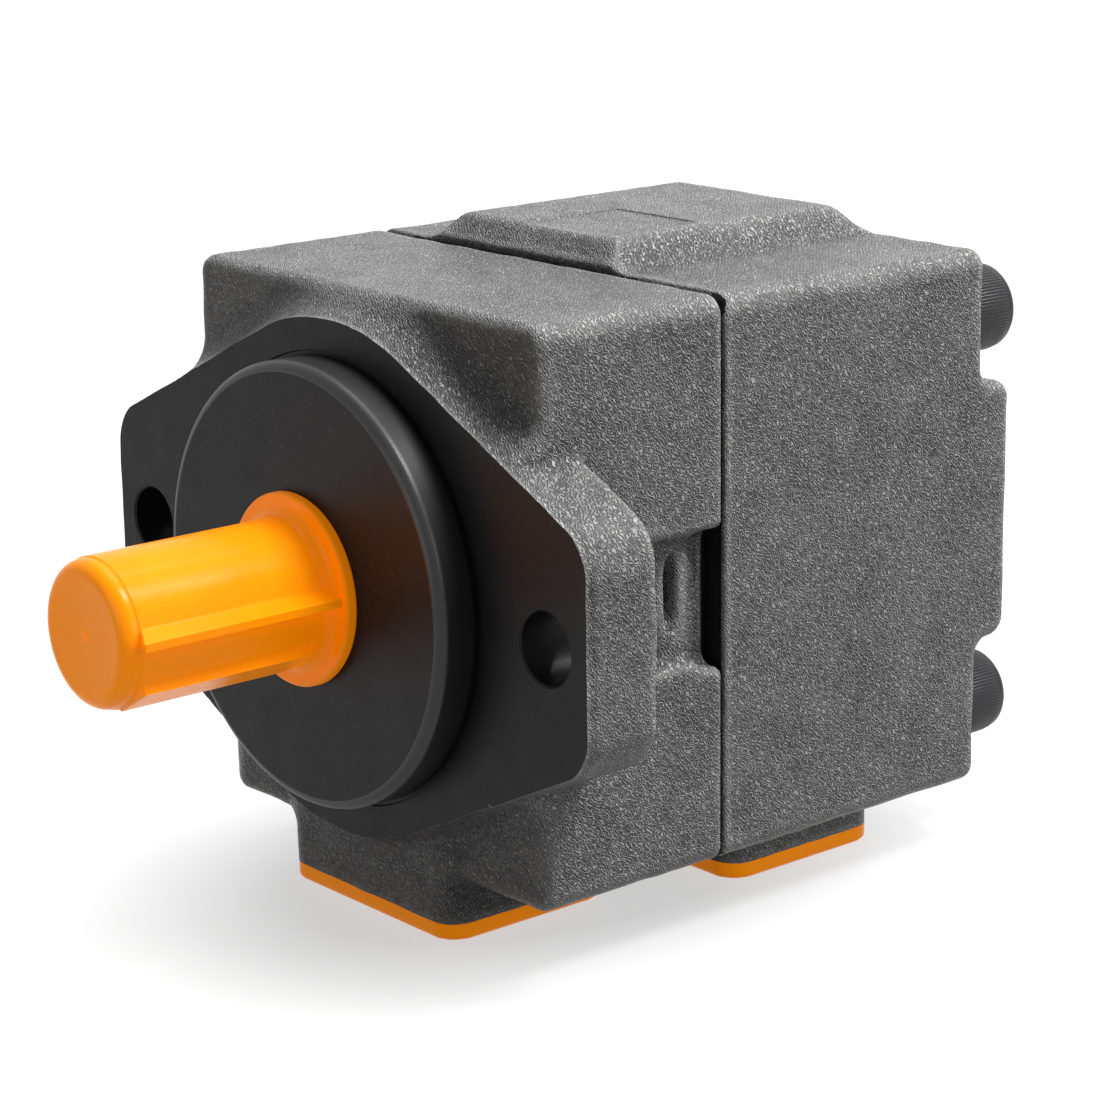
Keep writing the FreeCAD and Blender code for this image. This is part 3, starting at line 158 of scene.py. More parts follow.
# Rear boss, top pad and label place
COVER_REAR = 144.5
BOSS_TOP = 33.0
BOSS_BOTTOM = -30.0
BOSS_ROUND = 5.0
BOSS_FILLET = 4.0
TOP_PAD_LEFT = -41.0
TOP_PAD_RIGHT = 25.0
TOP_PAD_FRONT = 62.0
TOP_PAD_REAR = 142.5
TOP_PAD_SLOPE = 6.0
TOP_PAD_FILLET = 3.0
TOP_PAD_CORNER = 3.0
TOP_PAD_ROUND = 1.2
TOP_PAD_FOOT = 0.5
TOP_PAD_ROOT = 8.0
LABEL_LOW = (-15.0, 68.0)
LABEL_HIGH = (15.0, 97.0)
LABEL_CORNER = 2.0
LABEL_DEPTH = 0.45

# Chambers, seal and bearing bores
CHAMBER = 48.0
CHAMBER_FRONT = 26.0
SUCTION_CHAMBER = 38.0
SUCTION_CHAMBER_FRONT = 98.0
SUCTION_CHAMBER_REAR = 126.0
SEAL_BORE = 21.0
SEAL_CHAMFER = 0.6
SEAL_REAR = -1.0
RELIEF_BORE = 18.8
BEARING_FRONT = 3.0
BEARING_BORE = 31.0

# Ports
PORTS = {
    "discharge": {"station": 30.25, "bore": 10.0, "across": 23.8, "along": 11.1, "top": -44.7},
    "suction": {"station": 104.0, "bore": 16.0, "across": 29.35, "along": 15.1, "top": -32.0},
}
PORT_SEAT_DEPTH = 6.2
PORT_SEAT_ROOM = 1.5
PORT_WALL = 20.0
PASSAGE_ROOM = 1.0
PORT_THREAD = 4.25
PORT_THREAD_DEPTH = 20.0

# Holes of the cover screws
SCREW_OFFSET = 48.0
SCREW_SHANK = 7.0
SCREW_HOLE = 7.5
SCREW_TIP_ROOM = 3.0

# Unevenness of the cast skin, and how far it goes past the flange face before that is machined
UNEVENNESS = 0.07
STOCK = 3.0

# Grid cells of the meshed fields
CASTING_CELL = 1.2
PORT_CAP_CELL = 0.85
SHAFT_CAP_CELL = 0.46

# A face is machined where its centre is this near a machined plane, the joint or a bore
NEAR_PLANE = 0.05
NEAR_JOINT = 0.1
NEAR_BORE = 0.15

# Farther than any point of the part
FAR = 1e3


# Distance fields: negative inside the metal, in millimetres
def fillet_union(first, second, radius):
    """Both solids, with a rounded inner corner between them."""
    near = np.hypot(np.maximum(radius - first, 0), np.maximum(radius - second, 0))
    return np.maximum(radius, np.minimum(first, second)) - near


def round_trim(first, second, radius):
    """What both solids share, with a rounded outer edge."""
    return -fillet_union(-first, -second, radius)


def slab(place, low, high):
    """Everything between two parallel planes."""
    return np.maximum(low - place, place - high)


def rounded_rectangle(u, v, low, high, radius):
    """A rectangle from corner low to corner high with round corners."""
    reach_u = np.abs(u - (low[0] + high[0]) / 2) - (high[0] - low[0]) / 2 + radius
    reach_v = np.abs(v - (low[1] + high[1]) / 2) - (high[1] - low[1]) / 2 + radius
    outside = np.hypot(np.maximum(reach_u, 0), np.maximum(reach_v, 0))
    return outside + np.minimum(np.maximum(reach_u, reach_v), 0) - radius


def ramp(place, low, high):
    """0 before low, 1 after high, and smooth between."""
    share = np.clip((place - low) / (high - low), 0, 1)
    return share * share * (3 - 2 * share)


# Random waves that make the cast faces slightly uneven
WAVE_COUNT = 14
WAVE_SHORTEST = 7
WAVE_LONGEST = 22
wave_random = np.random.default_rng(11)
WAVE_DIRECTIONS = wave_random.normal(size=(WAVE_COUNT, 3))
WAVE_DIRECTIONS /= np.linalg.norm(WAVE_DIRECTIONS, axis=1)[:, None]
WAVE_LENGTHS = wave_random.uniform(WAVE_SHORTEST, WAVE_LONGEST, WAVE_COUNT)
WAVE_PHASES = wave_random.uniform(0, 2 * math.pi, WAVE_COUNT)


def cast_waves(x, y, z):
    """How far the cast skin is above or below its even shape."""
    total = 0
    for direction, length, phase in zip(WAVE_DIRECTIONS, WAVE_LENGTHS, WAVE_PHASES):
        along = direction[0] * x + direction[1] * y + direction[2] * z
        total = total + np.sin(2 * math.pi / length * along + phase)
    return UNEVENNESS * total / math.sqrt(WAVE_COUNT / 2)


# The slope from an ear to the flange's arc is tangent to the arc at this angle
TANGENT = (math.atan2(EAR_HALF_HEIGHT, EAR_REACH)
           + math.acos(FLANGE_ARC / math.hypot(EAR_HALF_HEIGHT, EAR_REACH)))


def flange_outline(x, z):
    """The two-bolt flange: a round middle and an ear on each side, joined by tangent slopes."""
    side, level = np.abs(x), np.abs(z)
    slope = side * math.cos(TANGENT) + level * math.sin(TANGENT) - FLANGE_ARC
    straight = round_trim(slope, side - EAR_REACH, EAR_CORNER)
    past_tangent = level * math.cos(TANGENT) > side * math.sin(TANGENT)
    return np.where(past_tangent, np.hypot(x, z) - FLANGE_ARC, straight)


def body_outline(x, z):
    """The rounded rectangle that both castings share."""
    return rounded_rectangle(x, z, (-HALF_WIDTH, -HALF_HEIGHT), (HALF_WIDTH, HALF_HEIGHT), BODY_EDGE)


def wrench_pocket(x, y, z):
    """The scooped room behind both ears, open at the joint. Its floor has a crease."""
    scoop = np.clip(1 - ((y - SCOOP_STATION) / SCOOP_REACH) ** 2, 0, 1)
    crease = np.exp(-((y - CREASE_STATION) / CREASE_WIDTH) ** 2)
    crease = crease * (1 - ramp(np.abs(z), CREASE_FULL, CREASE_END))
    mouth = ramp(y, CREASE_STATION, SPLIT)
    depth = POCKET_LEAST_DEPTH + SCOOP_DEPTH * scoop + CREASE_DEPTH * crease + MOUTH_DEPTH * mouth
    floor = HALF_WIDTH - depth - np.abs(x)
    height = slab(z, POCKET_BOTTOM - MOUTH_FLARE * mouth, POCKET_TOP)
    return round_trim(round_trim(height, floor, POCKET_ROUND), EAR_THICKNESS - y, POCKET_ROUND)


def port_pad(x, y, z, name, root):
    """The cast pad round a port, as wide as the transport cap below it."""
    low, high = PORT_CAPS[name]
    outline = rounded_rectangle(x, y, low[:2], high[:2], PAD_CORNER)
    return np.maximum(outline, z - root)


def port_bores(x, y, z, name):
    """A port's seat, bore and passage, and the four threads round it."""
    port = PORTS[name]
    behind = y - port["station"]
    radius = np.hypot(x, behind)
    seat_top = PAD_FLOOR + PORT_SEAT_DEPTH
    wall_top = seat_top + PORT_WALL
    bores = np.maximum(radius - port["bore"], z - wall_top)
    bores = np.minimum(bores, np.maximum(radius - port["bore"] - PORT_SEAT_ROOM, z - seat_top))
    passage = np.maximum(radius - port["bore"] - PASSAGE_ROOM, slab(z, wall_top, port["top"]))
    screw = np.hypot(np.abs(x) - port["across"], np.abs(behind) - port["along"]) - PORT_THREAD
    return np.minimum(np.minimum(bores, passage), np.maximum(screw, z - PAD_FLOOR - PORT_THREAD_DEPTH))


def cover_screw_distance(x, z):
    """Distance to the nearest of the four cover screws' axes."""
    return np.hypot(np.abs(x) - SCREW_OFFSET, np.abs(z) - SCREW_OFFSET)


def body_bores(x, y, z):
    """Everything that is bored or turned out of the body."""
    radius = np.hypot(x, z)
    bores = radius - RELIEF_BORE
    bores = np.minimum(bores, np.maximum(radius - BEARING_BORE, BEARING_FRONT - y))
    bores = np.minimum(bores, np.maximum(radius - CHAMBER, CHAMBER_FRONT - y))
    bores = np.minimum(bores, np.maximum(radius - PILOT_SEAT, y - PILOT_SEAT_DEPTH))
    bolts = np.hypot(np.abs(x) - BOLT_OFFSET, z) - BOLT_RING + BOLT_RING_LAP
    bores = np.minimum(bores, bolts)
    threads = np.maximum(cover_screw_distance(x, z) - SCREW_SHANK, SCREWS_LOW[1] - SCREW_TIP_ROOM - y)
    return np.minimum(np.minimum(bores, threads), port_bores(x, y, z, "discharge"))


def front_body(x, y, z):
    """The body casting: flange, flare, block, wrench pockets and discharge pad, then its machining."""
    outline = flange_outline(x, z)
    sides = body_outline(x, z)
    corner = (x + HALF_WIDTH + y - BODY_FRONT - LEFT_BEVEL) / math.sqrt(2)
    bevel = round_trim(corner, z - LEFT_BEVEL_TOP, BEVEL_ROUND)
    face = np.maximum(outline + EAR_DRAFT * (1 - ramp(y, 0, EAR_DRAFT_DEPTH)), -y - STOCK)
    front = fillet_union(face, BODY_FRONT - y, FLARE)
    pocket = wrench_pocket(x, y, z)
    rough = round_trim(sides, front, BODY_RIM)
    rough = round_trim(rough, -bevel, BEVEL_ROUND)
    rough = round_trim(rough, -pocket, POCKET_RIM)
    block = round_trim(sides, BODY_FRONT - y, BODY_RIM)
    block = round_trim(block, -bevel, BEVEL_ROUND)
    block = round_trim(block, -pocket, POCKET_RIM)
    ears = round_trim(face, y - EAR_THICKNESS, EAR_REAR_ROUND)
    cast = np.minimum(rough, fillet_union(block, ears, EAR_FILLET))
    cast = fillet_union(cast, port_pad(x, y, z, "discharge", DISCHARGE_PAD_ROOT), PAD_FILLET)
    cast = cast + cast_waves(x, y, z)
    cast = round_trim(cast, y - SPLIT, SPLIT_ROUND)
    machined = np.maximum(np.maximum(cast, -y), PAD_FLOOR - z)
    return np.maximum(machined, -body_bores(x, y, z))


def top_pad(x, y, z):
    """The pad on the cover, with sides that lean inward at about 45 degrees."""
    lean = np.maximum(z - HALF_HEIGHT, -TOP_PAD_FOOT) * TOP_PAD_SLOPE / (PAD_TOP - HALF_HEIGHT)
    outline = rounded_rectangle(x, y, (TOP_PAD_LEFT, TOP_PAD_FRONT), (TOP_PAD_RIGHT, TOP_PAD_REAR),
                                TOP_PAD_CORNER)
    return round_trim((outline + lean) / math.sqrt(2), z - PAD_TOP, TOP_PAD_ROUND)


def cover_bores(x, y, z):
    """The cover's chambers, screw holes and port."""
    radius = np.hypot(x, z)
    bores = np.maximum(radius - CHAMBER, y - SUCTION_CHAMBER_FRONT)
    bores = np.minimum(bores, np.maximum(radius - SUCTION_CHAMBER, y - SUCTION_CHAMBER_REAR))
    bores = np.minimum(bores, cover_screw_distance(x, z) - SCREW_HOLE)
    return np.minimum(bores, port_bores(x, y, z, "suction"))


def joint_land(x, y, z):
    """The machined land that meets the body, inside the gap in the joint."""
    reach = np.array([HALF_WIDTH, HALF_HEIGHT]) - LAND_INSET
    return np.maximum(rounded_rectangle(x, z, -reach, reach, BODY_EDGE), slab(y, SPLIT, SPLIT + LAND_DEPTH))


def rear_cover(x, y, z):
    """The cover casting: block, rear boss, top pad and suction pad, then its machining."""
    sides = body_outline(x, z)
    block = round_trim(sides, y - COVER_REAR, BODY_RIM)
    boss = round_trim(slab(z, BOSS_BOTTOM, BOSS_TOP), y - BOSS_REAR, BOSS_ROUND)
    rear_shape = fillet_union(y - COVER_REAR, boss, BOSS_FILLET)
    cast = np.minimum(block, round_trim(sides, rear_shape, BODY_RIM))
    raised = np.maximum(top_pad(x, y, z), HALF_HEIGHT - TOP_PAD_ROOT - z)
    cast = fillet_union(cast, raised, TOP_PAD_FILLET)
    cast = fillet_union(cast, port_pad(x, y, z, "suction", SUCTION_PAD_ROOT), PAD_FILLET)
    cast = cast + cast_waves(x, y, z)
    top = ramp(z, HALF_HEIGHT - TOP_GAP_START, HALF_HEIGHT - TOP_GAP_END)
    gap = SPLIT_GAP + (TOP_SPLIT_GAP - SPLIT_GAP) * top
    cast = round_trim(cast, SPLIT + gap - y, SPLIT_ROUND)
    cast = np.minimum(cast, joint_land(x, y, z))
    label = rounded_rectangle(x, y, LABEL_LOW, LABEL_HIGH, LABEL_CORNER)
    label = np.maximum(label, PAD_TOP - LABEL_DEPTH - z)
    machined = np.maximum(np.maximum(cast, PAD_FLOOR - z), -label)
    return np.maximum(machined, -cover_bores(x, y, z))


# Shaft cap
CAP_FRONT = SHAFT_CAP_LOW[1]
CAP_REAR = SHAFT_CAP_HIGH[1]
CAP_FLANGE = -SHAFT_CAP_LOW[0]
CAP_SLEEVE = 16.7
CAP_BORE = 14.6
CAP_INSIDE_FRONT = -64.1
CAP_FLANGE_THICKNESS = 2.6
CAP_FILLET = 3.0
CAP_FRONT_ROUND = 3.2
CAP_COLLAR_LENGTH = 4.2
CAP_COLLAR_STEP = 0.35
CAP_COLLAR_RAMP = 0.5
CAP_FLANGE_ROUND = 0.8
CAP_DISH = 0.5
CAP_DISH_RADIUS = 13.0
GATE_RADII = (0.8, 1.15)
GATE_FOOT_RADII = (0.55, 1.25)
GATE_HEIGHT = 0.16
GATE_ROOT = 0.2
FIN_CORNERS = [(14.0, 0.6), (20.9, 0.6), (21.0, 2.4), (15.9, 4.1), (14.0, 4.1)]
RIDGE_ANGLES = (-27.0, -33.0, -70.0)
RIDGE_RADII = (16.2, 19.0, 17.4)
RIDGE_ROOT = (9.0, -9.0)
RIDGE_ROOT_RADIUS = 14.0
RIDGE_SETBACK = 0.2
RIDGE_REAR = -17.6
RIDGE_ROUND = 0.7
FIN_REAR = -13.2
FIN_SWEEP = 0.5
FIN_SWEEP_START = 16.0
FIN_ROUND = 0.4
RIB_FILLET = 0.5


def convex_polygon(u, v, corners):
    """A convex polygon whose corners go anticlockwise."""
    field = np.full(np.shape(u), -FAR)
    for (u0, v0), (u1, v1) in zip(corners, corners[1:] + corners[:1]):
        length = math.hypot(u1 - u0, v1 - v0)
        field = np.maximum(field, ((u - u0) * (v1 - v0) - (v - v0) * (u1 - u0)) / length)
    return field


def ridge_corners():
    """The ridge's outline: its root inside the sleeve's wall, then its outer corners."""
    last = math.radians(RIDGE_ANGLES[-1])
    root = [RIDGE_ROOT, (RIDGE_ROOT_RADIUS * math.cos(last), RIDGE_ROOT_RADIUS * math.sin(last))]
    corners = [(radius * math.cos(math.radians(angle)), radius * math.sin(math.radians(angle)))
               for radius, angle in zip(RIDGE_RADII, RIDGE_ANGLES)]
    return root + corners[::-1]


def shaft_cap(x, y, z):
    """The cap over the shaft: a hollow sleeve with a collar, a flange, a side fin and a lower ridge."""
    radius = np.hypot(x, z)
    collar_end = CAP_FRONT + CAP_COLLAR_LENGTH
    collar = CAP_COLLAR_STEP * (1 - ramp(y, collar_end - CAP_COLLAR_RAMP, collar_end))
    dish = CAP_DISH * np.clip(1 - (radius / CAP_DISH_RADIUS) ** 2, 0, 1)
    sleeve = round_trim(radius - CAP_SLEEVE + collar, CAP_FRONT + dish - y, CAP_FRONT_ROUND)
    sleeve = np.maximum(sleeve, y - CAP_REAR)
    disc = slab(y, CAP_REAR - CAP_FLANGE_THICKNESS, CAP_REAR)
    disc = round_trim(radius - CAP_FLANGE, disc, CAP_FLANGE_ROUND)
    cap = fillet_union(sleeve, disc, CAP_FILLET)
    swept = slab(y + FIN_SWEEP * (x - FIN_SWEEP_START), collar_end, FAR)
    fin = round_trim(convex_polygon(x, z, FIN_CORNERS), swept, FIN_ROUND)
    fin = np.maximum(fin, y - FIN_REAR)
    cap = fillet_union(cap, fin, RIB_FILLET)
    length = slab(y, collar_end + RIDGE_SETBACK, RIDGE_REAR)
    ridge = round_trim(convex_polygon(x, z, ridge_corners()), length, RIDGE_ROUND)
    cap = fillet_union(cap, ridge, RIB_FILLET)
    hollow = np.maximum(radius - CAP_BORE, CAP_INSIDE_FRONT - y)
    return np.maximum(cap, -hollow)


# Port caps
CAP_PLATE_ROUND = 1.3
PLUG_LENGTH = 6.0
PLUG_CLEARANCE = 0.1
PLUG_WALL = 1.8
PLUG_ROUND = 0.8
PLUG_ROOT = 2.0


def port_cap(name):
    """The field of one port's transport cap: a plate with a hollow plug on it."""
    low, high = PORT_CAPS[name]
    bore = PORTS[name]["bore"] + PORT_SEAT_ROOM - PLUG_CLEARANCE
    station = PORTS[name]["station"]

    def field(x, y, z):
        outline = rounded_rectangle(x, y, low[:2], high[:2], PAD_CORNER)
        plate = round_trim(np.maximum(outline, z - PAD_FLOOR), FLOOR - z, CAP_PLATE_ROUND)
        radius = np.hypot(x, y - station)
        plug = round_trim(radius - bore, z - PAD_FLOOR - PLUG_LENGTH, PLUG_ROUND)
        plug = np.maximum(plug, PAD_FLOOR - PLUG_ROOT - z)
        hollow = np.maximum(radius - bore + PLUG_WALL, PAD_FLOOR - z)
        return np.maximum(np.minimum(plate, plug), -hollow)

    return field


# Meshing
# The grid starts this many cells outside the box, and normals are sampled over shares of a cell.
GRID_MARGIN = 1.5
POINT_REACH = 0.03
CORNER_REACH = 0.05
CORNER_SHIFT = 0.35

# The least bend across a cell, as a share of the greatest, that sets its vertex
LEAST_BEND = 0.06

# Crossings are narrowed down this many times, and stay this far inside the bracket
CROSSING_STEPS = 3
CROSSING_MARGIN = 0.05

SMOOTH_LIMIT = math.cos(math.radians(27))


def gradient(field, points, reach):
    """Unit normals of a field at points, from four samples round each."""
    total = np.zeros_like(points)
    for corner in ((1, -1, -1), (-1, -1, 1), (-1, 1, -1), (1, 1, 1)):
        moved = points + reach * np.array(corner)
        total += np.array(corner) * field(moved[:, 0], moved[:, 1], moved[:, 2])[:, None]
    return total / np.maximum(np.linalg.norm(total, axis=1), 1e-12)[:, None]


def crossings(field, values, low, cell, axis):
    """Grid edges along one axis where the field changes sign: their starts, crossings and directions."""
    ahead = np.moveaxis(values, axis, 0)
    inside = ahead < 0
    starts = np.argwhere(inside[:-1] != inside[1:])
    order = [axis] + [other for other in range(3) if other != axis]
    index = np.empty_like(starts)
    index[:, order] = starts
    step = np.zeros(3, int)
    step[axis] = 1
    first = values[tuple(index.T)]
    second = values[tuple((index + step).T)]
    begin = low + cell * index
    share = first / (first - second)
    ends = np.stack([np.zeros(len(share)), np.ones(len(share))])
    sides = np.stack([first, second])
    for _ in range(CROSSING_STEPS):
        points = begin + (share * cell)[:, None] * step
        middle = field(points[:, 0], points[:, 1], points[:, 2])
        low_side = (middle < 0) == (sides[0] < 0)
        ends[0] = np.where(low_side, share, ends[0])
        sides[0] = np.where(low_side, middle, sides[0])
        ends[1] = np.where(low_side, ends[1], share)
        sides[1] = np.where(low_side, sides[1], middle)
        gap = sides[0] - sides[1]
        guess = sides[0] / np.where(gap == 0, 1, gap)
        share = ends[0] + (ends[1] - ends[0]) * np.clip(guess, CROSSING_MARGIN, 1 - CROSSING_MARGIN)
    points = begin + (share * cell)[:, None] * step
    return index, points, first < 0


def dual_contour(field, low, high, cell):
    """Vertices, quads and corner normals of a field's surface. Sharp edges stay sharp."""
    low = np.array(low) - GRID_MARGIN * cell
    counts = np.ceil((np.array(high) + GRID_MARGIN * cell - low) / cell).astype(int) + 1
    lines = [low[axis] + cell * np.arange(counts[axis]) for axis in range(3)]
    values = field(*np.meshgrid(*lines, indexing="ij"))
    all_points, all_cells = [], []
    for axis in range(3):
        index, points, outward = crossings(field, values, low, cell, axis)
        second, third = [(1, 2), (2, 0), (0, 1)][axis]
        corners = []
        for back_second, back_third in ((1, 1), (0, 1), (0, 0), (1, 0)):
            moved = index.copy()
            moved[:, second] -= back_second
            moved[:, third] -= back_third
            corners.append(np.ravel_multi_index(tuple(moved.T), counts))
        cells = np.stack(corners, axis=1)
        all_cells.append(np.where(outward[:, None], cells, cells[:, ::-1]))
        all_points.append(points)
    points = np.concatenate(all_points)
    cells = np.concatenate(all_cells)
    normals = gradient(field, points, POINT_REACH * cell)
    names, quads = np.unique(cells, return_inverse=True)
    quads = quads.reshape(-1, 4)
    vertices = place_vertices(points, normals, quads, names, counts, low, cell)
    corner_normals = shade_corners(field, vertices, quads, cell)
    return vertices, quads, corner_normals


def field_surface(field, low, high, cell):
    """The field's surface, held inside the box of its CAD node."""
    vertices, quads, normals = dual_contour(field, low, high, cell)
    return np.clip(vertices, low, high), quads, normals


def place_vertices(points, normals, quads, names, counts, low, cell):
    """One vertex per crossed cell, where the tangent planes of its crossings meet best."""
    flat = quads.ravel()
    source = np.repeat(np.arange(len(points)), 4)
    size = len(names)
    share = 1 / np.bincount(flat, minlength=size)

    def gathered(weights):
        return np.bincount(flat, weights=weights[source], minlength=size)

    middle = np.stack([gathered(points[:, axis]) * share for axis in range(3)], axis=1)
    spread = np.empty((size, 3, 3))
    for row in range(3):
        for column in range(3):
            spread[:, row, column] = gathered(normals[:, row] * normals[:, column])
    reach = np.einsum("ij,ij->i", normals, points)
    pull = np.stack([gathered(normals[:, axis] * reach) for axis in range(3)], axis=1)
    pull -= np.einsum("nij,nj->ni", spread, middle)
    sizes, axes = np.linalg.eigh(spread)
    strong = sizes > LEAST_BEND * sizes[:, 2:]
    inverse = np.where(strong, 1 / np.where(strong, sizes, 1), 0)
    turned = np.einsum("nji,nj->ni", axes, pull) * inverse
    vertices = middle + np.einsum("nij,nj->ni", axes, turned)
    corner = low + cell * np.stack(np.unravel_index(names, counts), axis=1)
    return np.clip(vertices, corner, corner + cell)


def shade_corners(field, vertices, quads, cell):
    """Corner normals: shared where a vertex is on a smooth face, split where it is on an edge."""
    centres = vertices[quads].mean(axis=1)
    inward = vertices[quads] + CORNER_SHIFT * (centres[:, None, :] - vertices[quads])
    corners = gradient(field, inward.reshape(-1, 3), CORNER_REACH * cell)
    flat = quads.ravel()
    total = np.stack([np.bincount(flat, weights=corners[:, axis], minlength=len(vertices))
                      for axis in range(3)], axis=1)
    total /= np.maximum(np.linalg.norm(total, axis=1), 1e-12)[:, None]
    agreement = np.einsum("ij,ij->i", corners, total[flat])
    least = np.ones(len(vertices))
    np.minimum.at(least, flat, agreement)
    smooth = least[flat] > SMOOTH_LIMIT
    return np.where(smooth[:, None], total[flat], corners)


def lathe(profile, segments, centre=(0.0, 0.0)):
    """A ring turned about an axis along Y from (radius, station) points, with crisp corners."""
    count = len(profile)
    angles = 2 * math.pi * np.arange(segments) / segments
    around = np.stack([np.cos(angles), np.sin(angles)], axis=1)
    radii = np.array([radius for radius, station in profile])
    stations = np.array([station for radius, station in profile])
    vertices = np.empty((segments, count, 3))
    vertices[:, :, 0] = centre[0] + around[:, :1] * radii
    vertices[:, :, 1] = stations
    vertices[:, :, 2] = centre[1] + around[:, 1:] * radii
    quads, normals = [], []
    for index in range(count):
        after = (index + 1) % count
        run = np.array([radii[after] - radii[index], stations[after] - stations[index]])
        length = np.linalg.norm(run)
        if length < 1e-9:
            continue
        outward = np.array([run[1], -run[0]]) / length
        for turn in range(segments):
            onward = (turn + 1) % segments
            quads.append([turn * count + index, turn * count + after,
                          onward * count + after, onward * count + index])
            for place in (turn, turn, onward, onward):
                normals.append([around[place, 0] * outward[0], outward[1], around[place, 1] * outward[0]])
    return vertices.reshape(-1, 3), np.array(quads), np.array(normals)


def joined(patches):
    """Several patches as one."""
    vertices, quads, normals = [], [], []
    offset = 0
    for patch in patches:
        vertices.append(patch[0])
        quads.append(patch[1] + offset)
        normals.append(patch[2])
        offset += len(patch[0])
    return np.concatenate(vertices), np.concatenate(quads), np.concatenate(normals)


def make_piece(name, patch, materials, machined=None):
    """A mesh object from a patch. machined(centres) gives each face its material's number."""
    vertices, quads, normals = patch
    mesh = bpy.data.meshes.new(name)
    mesh.vertices.add(len(vertices))
    mesh.vertices.foreach_set("co", (vertices * MM).astype(np.float32).ravel())
    mesh.loops.add(quads.size)
    mesh.loops.foreach_set("vertex_index", quads.ravel().astype(np.int32))
    mesh.polygons.add(len(quads))
    mesh.polygons.foreach_set("loop_start", np.arange(0, quads.size, 4, dtype=np.int32))
    for material in materials:
        mesh.materials.append(material)
    if machined is not None:
        chosen = machined(vertices[quads].mean(axis=1))
        mesh.polygons.foreach_set("material_index", chosen.astype(np.int32))
    mesh.polygons.foreach_set("use_smooth", np.ones(len(quads), bool))
    mesh.update(calc_edges=True)
    mesh.normals_split_custom_set(normals.tolist())
    piece = bpy.data.objects.new(name, mesh)
    bpy.context.scene.collection.objects.link(piece)
    return piece


# Materials
def new_material(name, colour, roughness, **inputs):
    """A material, its node tree and its main shader. Other shader inputs are given by their names."""
    material = bpy.data.materials.new(name)
    material.use_nodes = True
    shader = material.node_tree.nodes["Principled BSDF"]
    shader.inputs["Base Color"].default_value = (*colour, 1)
    shader.inputs["Roughness"].default_value = roughness
    for key, number in inputs.items():
        shader.inputs[key.replace("_", " ")].default_value = number
    return material, material.node_tree, shader


def add_node(tree, kind, inputs=None, **settings):
    """A new node with its settings and the values of its unlinked inputs."""
    node = tree.nodes.new(kind)
    for key, setting in settings.items():
        setattr(node, key, setting)
    for key, number in (inputs or {}).items():
        node.inputs[key].default_value = number
    return node


def object_place(tree):
    """The point's own coordinates in the row frame, in metres."""
    return add_node(tree, "ShaderNodeTexCoord").outputs["Object"]


def noise(tree, place, feature, detail=2.0, distortion=0.0):
    """Noise with features of about that many millimetres."""
    node = add_node(tree, "ShaderNodeTexNoise", {
        "Scale": 1 / (feature * MM), "Detail": detail, "Distortion": distortion})
    tree.links.new(place, node.inputs["Vector"])
    return node.outputs["Fac"]


def spread_between(tree, source, low, high, bottom=0.0, top=1.0):
    """The source's values from low to high, spread from bottom to top."""
    node = add_node(tree, "ShaderNodeMapRange", {
        "From Min": low, "From Max": high, "To Min": bottom, "To Max": top})
    tree.links.new(source, node.inputs["Value"])
    return node.outputs["Result"]


def soft_noise(tree, place, feature, bottom, top, detail=2.0):
    """Noise whose middle values are spread from bottom to top."""
    return spread_between(tree, noise(tree, place, feature, detail=detail), 0.3, 0.7, bottom, top)


def combined(tree, operation, first, second):
    """Two sources or numbers joined by an operation."""
    node = add_node(tree, "ShaderNodeMath", operation=operation)
    for slot, thing in enumerate((first, second)):
        if isinstance(thing, (int, float)):
            node.inputs[slot].default_value = thing
        else:
            tree.links.new(thing, node.inputs[slot])
    return node.outputs[0]


def colour_between(tree, source, dark, light):
    """Dark where the source is 0 and light where it is 1."""
    node = add_node(tree, "ShaderNodeMix", data_type="RGBA")
    node.inputs["A"].default_value = (*dark, 1)
    node.inputs["B"].default_value = (*light, 1)
    tree.links.new(source, node.inputs["Factor"])
    return node.outputs["Result"]


def add_bump(tree, shader, height, depth):
    """Bumps up to depth millimetres high."""
    node = add_node(tree, "ShaderNodeBump", {"Strength": 1.0, "Distance": depth * MM})
    tree.links.new(height, node.inputs["Height"])
    tree.links.new(node.outputs["Normal"], shader.inputs["Normal"])


def worm_grain(tree, place, spacing, wander):
    """Curly parallel ridges that far apart, which turn within wander millimetres."""
    scale = 2 * math.pi / (spacing * MM) / 10 / math.sqrt(2)
    node = add_node(tree, "ShaderNodeTexWave", {
        "Scale": scale, "Distortion": 9.0, "Detail": 1.0, "Detail Scale": 1 / (wander * MM) / scale},
        wave_type="BANDS", bands_direction="DIAGONAL")
    tree.links.new(place, node.inputs["Vector"])
    return node.outputs["Fac"]


def edge_highlight_hollow_shade(tree):
    """Painted highlight where the surface bulges, and painted shade, less than nothing, where it is hollow.
    """
    shape = add_node(tree, "ShaderNodeNewGeometry")
    return spread_between(tree, shape.outputs["Pointiness"], 0.47, 0.54, -0.25, 0.3)


